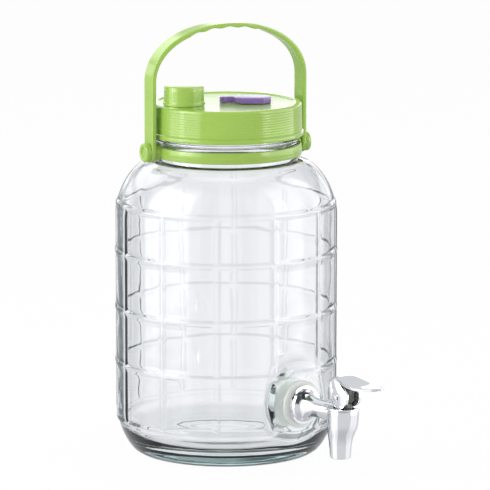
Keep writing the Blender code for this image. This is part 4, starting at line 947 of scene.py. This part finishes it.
def make_vent_plug():
    """Thick eight-sided plate with a round-ended pull tab on a short neck, and a stem below."""
    half_width, half_depth, corner, thickness = 0.0168, 0.0126, 0.0068, 0.0056
    side, end = half_width - corner, half_depth - corner
    neck_end, neck, tab_half_length, tab_half_width = half_width + 0.0060, 0.0026, 0.0037, 0.0044
    outline = [(across, up, 0.0012) for across, up in (
        (-side, -half_depth), (side, -half_depth), (half_width, -end), (half_width, end), (side, half_depth),
        (-side, half_depth), (-half_width, end))]
    outline += [(-half_width, neck, 0.0010), (-neck_end, neck, 0)]
    outline += [(-neck_end - tab_half_length * (1 + math.cos(turn)), tab_half_width * math.sin(turn), 0)
                for turn in (math.radians(120 - 15 * index) for index in range(17))]
    outline += [(-neck_end, -neck, 0), (-half_width, -neck, 0.0010), (-half_width, -end, 0.0012)]
    middle = PLUG_HIGH.z - thickness / 2
    flat = Matrix.Translation((0, 0, middle)) @ Matrix.Rotation(-math.pi / 2, 4, "X")
    piece = show(plate(outline, thickness, 0.0008, segments=4), "vent_plate", "vent_plug", VENT_PLACE @ flat)
    stem_radius = 0.0040
    carve(piece, [round_bar(stem_radius, PLUG_LOW.z, middle, VENT_PLACE, rounding=0.0004)], "UNION")


# Tap

# Bell from its flange to its neck: share of its length and share of its width over the neck
BELL_SHARES = ((0, 1), (0.004, 0.93), (0.009, 0.80), (0.07, 0.72), (0.14, 0.46), (0.24, 0.25), (0.37, 0.13),
               (0.53, 0.06), (0.75, 0.03), (1, 0))

# Barrel from its outlet to its top: share of its height with its width, and with how far it has swung back
BARREL_WIDTH_SHARES = ((0, 0.65), (0.25, 0.705), (0.361, 0.755), (0.445, 0.81), (0.53, 0.89), (0.617, 0.95),
                       (0.70, 0.98), (0.87, 1), (1, 1))
BARREL_SWING_SHARES = ((0, 1), (0.25, 1), (0.361, 0.94), (0.445, 0.81), (0.53, 0.63), (0.617, 0.34),
                       (0.70, 0.16), (0.87, 0), (1, 0))

# Paddle from its heel to its tip: share of its length with its height, and with its width
PADDLE_WAVE_SHARES = ((0, 0.70), (0.03, 0.85), (0.08, 0.955), (0.15, 1), (0.23, 0.975), (0.31, 0.92),
                      (0.40, 0.855), (0.50, 0.80), (0.59, 0.77), (0.71, 0.765), (0.86, 0.80), (1, 0.86))
PADDLE_PLAN_SHARES = ((0, 0.66), (0.06, 0.71), (0.15, 0.77), (0.25, 0.86), (0.34, 0.94), (0.46, 1),
                      (0.59, 0.985), (0.71, 0.87), (0.84, 0.66), (0.93, 0.44), (0.98, 0.24), (1, 0.02))

# Cheek from the front of its cam round its top to its back: shares of its reach and of the paddle's rise
CHEEK_SHARES = ((0.93, -0.19), (1, 0.03), (0.98, 0.26), (0.10, 0.86), (-0.11, 0.90), (-0.40, 0.84),
                (-0.54, 0.73), (-0.60, 0.63), (-0.70, 0.41))


def make_tap_bell():
    """Trumpet-shaped flange that narrows to the neck of the barrel, with its shank through the glass."""
    tap = bpy.context.scene.jar_tap
    seat, edge, steps, crowding = -WASHER_LOW.y + GAP, 0.0026, 28, 1.7
    shank, bore, bore_end = 0.0081, 0.0038, -PIN.y - 0.006
    outline = [(0, -PIN.y, 0), (tap.neck_radius, -PIN.y, 0)]
    for index in range(steps, -1, -1):
        along = (index / steps) ** crowding
        wide = (tap.bell_radius - tap.neck_radius) * through(BELL_SHARES, along)
        outline.append((tap.neck_radius + wide, seat + edge + (tap.bell_length - edge) * along, 0))
    outline += [(tap.bell_radius, seat + edge * 0.6, 0), (tap.bell_radius, seat, 0.0004), (shank, seat, 0),
                (shank, -TAP_HIGH.y, 0.0008), (bore, -TAP_HIGH.y, 0.0004), (bore, bore_end, 0), (0, bore_end, 0)]
    show(turned(outline, 96), "tap_bell", "tap_body", TAP_PLACE)


def make_tap_barrel():
    """Upright barrel that draws in and swings back to the outlet, hollow down its middle."""
    tap = bpy.context.scene.jar_tap
    top, bottom, steps = BONNET_LOW.z + 0.0015, TAP_LOW.z, 40
    height, radius = top - bottom, tap.barrel_radius
    outline = [(radius, top, 0.0004)]
    outline += [(radius * through(BARREL_WIDTH_SHARES, index / steps), bottom + height * index / steps, 0)
                for index in range(steps - 1, 0, -1)]
    outlet, seat, bore, outlet_top, seat_top, bore_start = 0.0070, 0.0050, 0.0095, 0.0360, 0.0372, 0.0420
    outline += [(radius * BARREL_WIDTH_SHARES[0][1], bottom, 0.0009), (outlet, bottom, 0.0006),
                (outlet, outlet_top, 0), (seat, outlet_top, 0), (seat, seat_top, 0), (bore, bore_start, 0),
                (bore, top, 0.0003)]
    shape = turned(outline, 96)
    for vertex in shape.verts:
        share = min(max((vertex.co.z - bottom) / height, 0), 1)
        vertex.co.y += tap.swing * through(BARREL_SWING_SHARES, share)
    show(shape, "tap_barrel", "tap_body", BARREL_PLACE)


def make_bonnet():
    """Thin plated disc that closes the barrel, over a dark joint line."""
    low, high = BONNET_HIGH.z - 0.0018, BONNET_HIGH.z
    hole, radius, plug = 0.0033, 0.0152, 0.0092
    outline = [(hole, high, 0.0002), (radius, high, 0.0006), (radius, low, 0.0004), (plug, low, 0),
               (plug, BONNET_LOW.z, 0.0003), (hole, BONNET_LOW.z, 0.0002)]
    show(turned(outline, 96), "bonnet_disc", "tap_bonnet", BARREL_PLACE)


def make_stem_parts():
    """Black guide and round head with flats, between the lever's cheeks."""
    hole, top, foot, half = 0.0033, 0.0080, 0.0093, HEAD_HIGH.x
    low, high = GUIDE_LOW.z, GUIDE_HIGH.z
    guide = [(hole, high, 0.0003), (top, high, 0.0006), (foot, low, 0.0003), (hole, low, 0)]
    show(flat_sided(guide, 72, half), "guide_cone", "stem_guide", BARREL_PLACE)
    radius, rounding = 0.0107, 0.0020
    low, high = HEAD_LOW.z, HEAD_HIGH.z
    head = [(0, high, 0), (radius, high, rounding), (radius, low, rounding), (0, low, 0)]
    show(flat_sided(head, 72, half), "head_drum", "stem_head", BARREL_PLACE)


def make_paddle():
    """Waved thumb paddle with a soft dish along its middle and rolled edges."""
    tap = bpy.context.scene.jar_tap
    heel, edge_fall, rounding = 0.0098, 0.0005, 0.0007
    shape = bmesh.new()
    bmesh.ops.create_grid(shape, x_segments=20, y_segments=64, size=1)
    for vertex in shape.verts:
        across, along = vertex.co.x, (vertex.co.y + 1) / 2
        wide = tap.paddle_half_width * through(PADDLE_PLAN_SHARES, along)
        height = tap.paddle_rise * through(PADDLE_WAVE_SHARES, along) - edge_fall * across ** 4
        vertex.co = (across * wide, heel - tap.paddle_length * along, height)
    bmesh.ops.recalc_face_normals(shape, faces=shape.faces)
    if shape.faces[0].normal.z < 0:
        bmesh.ops.reverse_faces(shape, faces=shape.faces)
    bmesh.ops.solidify(shape, geom=shape.faces[:], thickness=tap.paddle)
    bmesh.ops.recalc_face_normals(shape, faces=shape.faces)
    round_edges(shape, rounding)
    show(shape, "lever_paddle", "tap_lever", Matrix.Translation(PIN))


def make_cheeks():
    """Two cheeks that hang from the paddle, each with a flat sole and a cam at its lower edge."""
    tap = bpy.context.scene.jar_tap
    drop, lift, press, steps = 0.0091, 0.0045, math.radians(28), 8
    outline = [(-0.0116, -0.0030, 0.0008), (0.0010, -drop, 0)]
    for index in range(steps + 1):
        turn = press * index / steps
        reach = drop + lift * turn
        outline.append((reach * math.sin(turn) + lift * math.cos(turn),
                        lift * math.sin(turn) - reach * math.cos(turn), 0))
    front, corner = 0.0148, 0.0006
    outline += [(front * forward, tap.paddle_rise * up, corner) for forward, up in CHEEK_SHARES]
    off, hole, reach = 0.0076, 0.0018, 0.0110
    for side, label in SIDES:
        place = Matrix.Translation(PIN + Vector((side * off, 0, 0))) @ Matrix.Rotation(-math.pi / 2, 4, "Z")
        piece = show(plate(outline, tap.cheek, 0.0004), f"lever_cheek_{label}", "tap_lever", place)
        carve(piece, [round_bar(hole, -reach, reach, PIN_PLACE, 32)])


def make_lever_pin():
    """Rivet through the cheeks and the stem's head."""
    half, head_height, head, shaft = PIN_HIGH.x, 0.0008, 0.0026, 0.0015
    neck = half - head_height
    outline = [(0, half, 0), (head, half, 0.0005), (head, neck, 0), (shaft, neck, 0), (shaft, -neck, 0),
               (head, -neck, 0), (head, -half, 0.0005), (0, -half, 0)]
    show(turned(outline, 40), "pin_rivet", "lever_pin", PIN_PLACE)


def ring_outline(bore, radius, low, high, rounding=0.0009):
    """Half section of a flat ring with rounded outer corners."""
    return [(bore, high, 0.0003), (radius, high, rounding), (radius, low, rounding), (bore, low, 0.0003)]


def make_washers_and_nut():
    """Soft washers at both sides of the glass, and the flanged nut inside the jar."""
    bore = bpy.context.scene.jar_tap.bore
    outer_radius, inner_radius = 0.0216, 0.0210
    outside = ring_outline(bore, outer_radius, -WASHER_HIGH.y, -WASHER_LOW.y)
    show(turned(outside, 96), "washer_outside", "tap_outer_washer", TAP_PLACE, finish="milky_silicone")
    inside = ring_outline(bore, inner_radius, -INNER_WASHER_HIGH.y, -INNER_WASHER_LOW.y)
    show(turned(inside, 96), "washer_inside", "tap_inner_washer", TAP_PLACE)
    low, high = -NUT_HIGH.y, -NUT_LOW.y
    flange_radius, flange_low, grip_radius, grip_high = 0.0208, high - 0.0030, 0.01732, high - 0.0020
    flange = [(bore, high, 0.0003), (flange_radius, high, 0.0008), (flange_radius, flange_low, 0.0008),
              (bore, flange_low, 0)]
    show(turned(flange, 96), "nut_flange", "tap_nut", TAP_PLACE)
    grip = [(bore, grip_high, 0), (grip_radius, grip_high, 0), (grip_radius, low, 0.0008), (bore, low, 0.0004)]
    show(turned(grip, 6), "nut_grip", "tap_nut", TAP_PLACE)


def finish_inner_parts():
    """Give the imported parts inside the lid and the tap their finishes."""
    for node, finish in INNER_PARTS.items():
        piece = frame["nodes"][node]
        piece.data.materials.clear()
        piece.data.materials.append(finish_for(finish))


# Studio

# Pixels of the photograph across, and at the jar's axis and the camera's target
PHOTO_PIXELS = 490
AXIS_PIXEL = 226.0
TARGET_PIXEL = 245.28

# Area lights: metres to the right of the jar, towards the camera and up, then width and height
LIGHTS = {"key": (-1.55, 0.75, 1.15, 0.9, 1.3), "fill": (1.7, 0.9, 0.8, 0.5, 1.2),
          "top": (0.0, -0.4, 1.9, 1.2, 1.2)}

# Directions round the studio are in degrees from +X; this one is straight behind the jar
BEHIND = 90 + FRONT_AZIMUTH

# Upright dark strips that glass shows: direction, half width and depth
STRIPS = ((57.6, 1.5, 0.12), (41.6, 1.5, 0.12), (4.6, 12.0, 0.80), (-30.0, 8.0, 0.7),
          (-67.5, 8.0, 0.7), (-112.5, 8.0, 0.7), (-157.5, 8.0, 0.7), (157.5, 8.0, 0.7), (120.0, 8.0, 0.7))
STRIP_EDGE = 3.5

# How dark glass is at its edges, and the colours that it shows where it is light and dark
LEFT_EDGE, RIGHT_EDGE, SHOULDER_EDGE = 0.96, 0.10, 0.62
LIGHT_GLASS, DARK_GLASS = (0.945, 0.945, 0.97, 1), (0.025, 0.06, 0.065, 1)

# Bright backdrop and windows that metal and plastic show: direction, half width, soft edge and light
BETWEEN_WINDOWS = 0.68
WINDOW_FOOT = 0.12
BACKDROP = (BEHIND, 52.0, 12.0, 1.5)
HIGH_WINDOW = (90.0, 20.0, 9.0, 1.9)
DARK_CARD = (-130.4, 16.0, 10.0, 0.94)
WINDOWS = ((163.1, 24.0, 6.0, 3.4), (159.6, 2.5, 2.5, 7.0), (-39.4, 28.0, 9.0, 2.4))


def away_from_target(studio):
    """Direction from the camera's target to the camera."""
    return Vector((math.sin(studio.azimuth) * math.cos(studio.elevation),
                   -math.cos(studio.azimuth) * math.cos(studio.elevation), math.sin(studio.elevation)))


def look_at(thing, location, target):
    """Put a camera or a lamp in its place and point it."""
    thing.location = location
    thing.rotation_mode = "QUATERNION"
    thing.rotation_quaternion = (target - location).to_track_quat("-Z", "Y")
    bpy.context.scene.collection.objects.link(thing)


def make_camera(studio, target):
    """The photograph's camera; its shift keeps the jar at its place in the frame."""
    camera = bpy.data.cameras.new("camera")
    camera.lens = studio.lens
    camera.shift_x = 0.5 - AXIS_PIXEL / PHOTO_PIXELS
    camera.shift_y = TARGET_PIXEL / PHOTO_PIXELS - 0.5
    camera.clip_end = 50
    eye = bpy.data.objects.new("camera", camera)
    look_at(eye, target + away_from_target(studio) * studio.distance, target)
    bpy.context.scene.camera = eye


def make_lights(studio, target):
    """Large soft lights at both sides and overhead."""
    right = Vector((math.cos(studio.azimuth), math.sin(studio.azimuth), 0))
    near = Vector((math.sin(studio.azimuth), -math.cos(studio.azimuth), 0))
    for name, (across, towards, up, width, height) in LIGHTS.items():
        lamp = bpy.data.lights.new(name, "AREA")
        lamp.shape = "RECTANGLE"
        lamp.size = width
        lamp.size_y = height
        lamp.energy = getattr(studio, name)
        light = bpy.data.objects.new(name, lamp)
        light.visible_transmission = False
        look_at(light, right * across + near * towards + Vector((0, 0, up)), target)


def turned_from(around, middle):
    """Degrees from a direction, less than half a turn to either side."""
    return (around - middle + 540.0).math("FLOORED_MODULO", 360.0) - 180.0


def strip(around, middle, half, soft, strength):
    """An upright strip of the studio, with soft edges."""
    return turned_from(around, middle).math("ABSOLUTE").ramp(half, half + soft, strength, 0.0)


def glass_surroundings(finish, direction, around, height, studio):
    """What glass shows: white, with dark strips, a dark ring, and a darker ceiling and ground.

    The ramps go over degrees round the studio, over degrees of height and, for the ring that darkens the
    glass at its edges, over degrees from straight behind the jar.
    """
    dark = None
    for middle, half, depth in STRIPS:
        shade = strip(around, middle, half, STRIP_EDGE, depth)
        dark = shade if dark is None else dark.math("MAXIMUM", shade)
    straight = tuple(-away_from_target(studio))
    facing = finish.add("ShaderNodeVectorMath", {"operation": "DOT_PRODUCT"}, {0: direction, 1: straight})
    aside = facing["Value"].math("ARCCOSINE") * (180 / math.pi)
    shares = turned_from(around, BEHIND).ramp(-10, 14, RIGHT_EDGE, LEFT_EDGE)
    shares = shares.math("MAXIMUM", height.ramp(0, 10, 0, SHOULDER_EDGE))
    dark = dark.math("MAXIMUM", aside.ramp(18, 22) * aside.ramp(38, 46, 1.0, 0.0) * shares)
    dark = dark * height.ramp(34, 50, 1.0, 0.0) * height.ramp(-30, -20)
    ceiling = height.ramp(44, 60, 0.0, 0.80) * height.ramp(70, 78, 1.0, 0.0)
    depth = height * -1
    ground = depth.ramp(36, 60, 0.0, 0.34) + depth.ramp(14, 22, 0.0, 0.15)
    return finish.mix(dark.math("MAXIMUM", ceiling).math("MAXIMUM", ground), LIGHT_GLASS, DARK_GLASS)


def glossy_surroundings(finish, around, height):
    """What metal and plastic show: a bright backdrop and soft windows, over degrees of height."""
    level = height.ramp(36, 62, 1.0, 0.0) * (height * -1).ramp(20, 60, 1.0, 0.75)
    level = level * (1 - strip(around, *DARK_CARD) * height.ramp(3, 12) * height.ramp(48, 58, 1.0, 0.0))
    glow = strip(around, *BACKDROP) * height.ramp(11, 16, 1.0, 0.0) * height.ramp(-2, 3)
    high = strip(around, *HIGH_WINDOW) * height.ramp(14, 22) * height.ramp(42, 52, 1.0, 0.0)
    glow = glow.math("MAXIMUM", high)
    below = height.ramp(-12.0, -10.4, WINDOW_FOOT, 1.0)
    for window in WINDOWS:
        glow = glow.math("MAXIMUM", strip(around, *window) * below)
    white, blue = (glow + BETWEEN_WINDOWS) * level, (glow + BETWEEN_WINDOWS * 1.03) * level
    return finish.add("ShaderNodeCombineXYZ", None, {0: white + 0.04, 1: white + 0.045, 2: blue + 0.05})[0]


def make_world(studio):
    """White to the camera, even to matt surfaces, and with its own surroundings for glass and for gloss."""
    world = bpy.data.worlds.new("studio")
    bpy.context.scene.world = world
    world.use_nodes = True
    finish = Finish(world.node_tree)
    direction = finish.add("ShaderNodeTexCoord")["Generated"]
    parts = finish.add("ShaderNodeSeparateXYZ", None, {0: direction})
    around = parts[1].math("ARCTAN2", parts[0]) * (180 / math.pi)
    height = parts[2].math("ARCSINE") * (180 / math.pi)
    path = finish.add("ShaderNodeLightPath")
    seen = finish.mix(path["Is Transmission Ray"], glossy_surroundings(finish, around, height),
                      glass_surroundings(finish, direction, around, height, studio))
    shiny = path["Is Glossy Ray"].math("MAXIMUM", path["Is Transmission Ray"])
    lit = finish.mix(shiny, grey(studio.ambient), seen)
    colour = finish.mix(path["Is Camera Ray"], lit, grey(1.0))
    background = finish.add("ShaderNodeBackground", None, {"Color": colour, "Strength": 1.0})[0]
    finish.add("ShaderNodeOutputWorld", None, {"Surface": background})


def make_floor():
    """Pale floor that keeps a soft shadow of the jar."""
    shape = bmesh.new()
    bmesh.ops.create_circle(shape, cap_ends=True, cap_tris=False, segments=96, radius=6.0)
    floor = new_object(shape, "floor")
    floor.location = (0, 0, -0.0001)
    floor.visible_transmission = False
    floor.visible_glossy = False
    material, finish = new_finish("floor")
    paper = finish.noise(finish.place(), 40.0, 3.0)
    matt = finish.add("ShaderNodeBsdfDiffuse", None, {"Color": finish.mix(paper, grey(0.90), grey(0.93))})[0]
    glow = finish.add("ShaderNodeEmission", None, {"Color": grey(1.0), "Strength": 1.0})[0]
    camera_share = finish.add("ShaderNodeLightPath")["Is Camera Ray"] * 0.94
    mixed = finish.add("ShaderNodeMixShader", None, {0: camera_share, 1: matt, 2: glow})[0]
    finish.add("ShaderNodeOutputMaterial", None, {"Surface": mixed})
    floor.data.materials.append(material)


def make_studio():
    """Camera, world, floor and lights."""
    studio = bpy.context.scene.jar_studio
    target = Vector((0, 0, studio.target_height))
    bpy.context.scene.view_settings.view_transform = "Standard"
    make_camera(studio, target)
    make_world(studio)
    make_floor()
    make_lights(studio, target)


# Operators

class MakePiece:
    """What the operators share"""
    bl_options = {"REGISTER", "UNDO"}
    build = ()

    def execute(self, context):
        for step in self.build:
            step()
        return {"FINISHED"}


class JAR_OT_glass(MakePiece, bpy.types.Operator):
    """Turn the ribbed glass jar with its threaded neck and the pad for the tap"""
    bl_idname = "jar.glass"
    bl_label = "Glass jar"
    build = (make_glass_jar,)


class JAR_OT_collar(MakePiece, bpy.types.Operator):
    """Make the collar round the neck and the caps on its studs"""
    bl_idname = "jar.collar"
    bl_label = "Neck collar and pivot caps"
    build = (make_neck_collar, make_pivot_caps)


class JAR_OT_handle(MakePiece, bpy.types.Operator):
    """Make the bail handle"""
    bl_idname = "jar.handle"
    bl_label = "Bail handle"
    build = (make_bail_handle,)


class JAR_OT_lid(MakePiece, bpy.types.Operator):
    """Make the screw lid with its pouring spout"""
    bl_idname = "jar.lid"
    bl_label = "Screw lid"
    build = (make_screw_lid,)


class JAR_OT_cap(MakePiece, bpy.types.Operator):
    """Make the cap on the pouring spout"""
    bl_idname = "jar.cap"
    bl_label = "Spout cap"
    build = (make_spout_cap,)


class JAR_OT_vent(MakePiece, bpy.types.Operator):
    """Make the vent plug with its pull tab"""
    bl_idname = "jar.vent"
    bl_label = "Vent plug"
    build = (make_vent_plug,)


class JAR_OT_tap(MakePiece, bpy.types.Operator):
    """Make the tap's bell, barrel and bonnet"""
    bl_idname = "jar.tap"
    bl_label = "Tap body"
    build = (make_tap_bell, make_tap_barrel, make_bonnet)


class JAR_OT_fastening(MakePiece, bpy.types.Operator):
    """Make the washers and the nut that hold the tap"""
    bl_idname = "jar.fastening"
    bl_label = "Washers and nut"
    build = (make_washers_and_nut,)


class JAR_OT_lever(MakePiece, bpy.types.Operator):
    """Make the lever with its cheeks and pin, and the black stem parts between them"""
    bl_idname = "jar.lever"
    bl_label = "Lever and stem head"
    build = (make_stem_parts, make_paddle, make_cheeks, make_lever_pin)


class JAR_OT_inner(MakePiece, bpy.types.Operator):
    """Give the inner parts their finishes"""
    bl_idname = "jar.inner"
    bl_label = "Gasket, liner, stem, plug and spring"
    build = (finish_inner_parts,)


class JAR_OT_studio(MakePiece, bpy.types.Operator):
    """Make the floor, the lights and the camera"""
    bl_idname = "jar.studio"
    bl_label = "Studio"
    build = (make_studio,)


OPERATORS = (JAR_OT_glass, JAR_OT_collar, JAR_OT_handle, JAR_OT_lid, JAR_OT_cap, JAR_OT_vent, JAR_OT_tap,
             JAR_OT_fastening, JAR_OT_lever, JAR_OT_inner, JAR_OT_studio)
GROUPS = {"jar_sizes": JarSizes, "jar_handle": HandleSizes, "jar_lid": LidSizes, "jar_tap": TapSizes,
          "jar_colours": FinishColours, "jar_studio": StudioSettings}


class JAR_PT_panel(bpy.types.Panel):
    """Sidebar panel that lists the pieces and their sizes"""
    bl_label = "Fermentation jar"
    bl_idname = "JAR_PT_panel"
    bl_space_type = "VIEW_3D"
    bl_region_type = "UI"
    bl_category = "Jar"

    def draw(self, context):
        for operator in OPERATORS:
            self.layout.operator(operator.bl_idname)
        for name in GROUPS:
            group = getattr(context.scene, name)
            box = self.layout.box()
            for size in group.bl_rna.properties.keys():
                if size not in ("rna_type", "name"):
                    box.prop(group, size)


CLASSES = (*GROUPS.values(), *OPERATORS, JAR_PT_panel)


def register():
    for item in CLASSES:
        bpy.utils.register_class(item)
    for name, group in GROUPS.items():
        setattr(bpy.types.Scene, name, PointerProperty(type=group))


def unregister():
    for name in GROUPS:
        delattr(bpy.types.Scene, name)
    for item in reversed(CLASSES):
        bpy.utils.unregister_class(item)


def main():
    """Build every piece and the studio."""
    register()
    bpy.ops.jar.glass()
    bpy.ops.jar.collar()
    bpy.ops.jar.handle()
    bpy.ops.jar.lid()
    bpy.ops.jar.cap()
    bpy.ops.jar.vent()
    bpy.ops.jar.tap()
    bpy.ops.jar.fastening()
    bpy.ops.jar.lever()
    bpy.ops.jar.inner()
    bpy.ops.jar.studio()


if __name__ == "__main__":
    main()
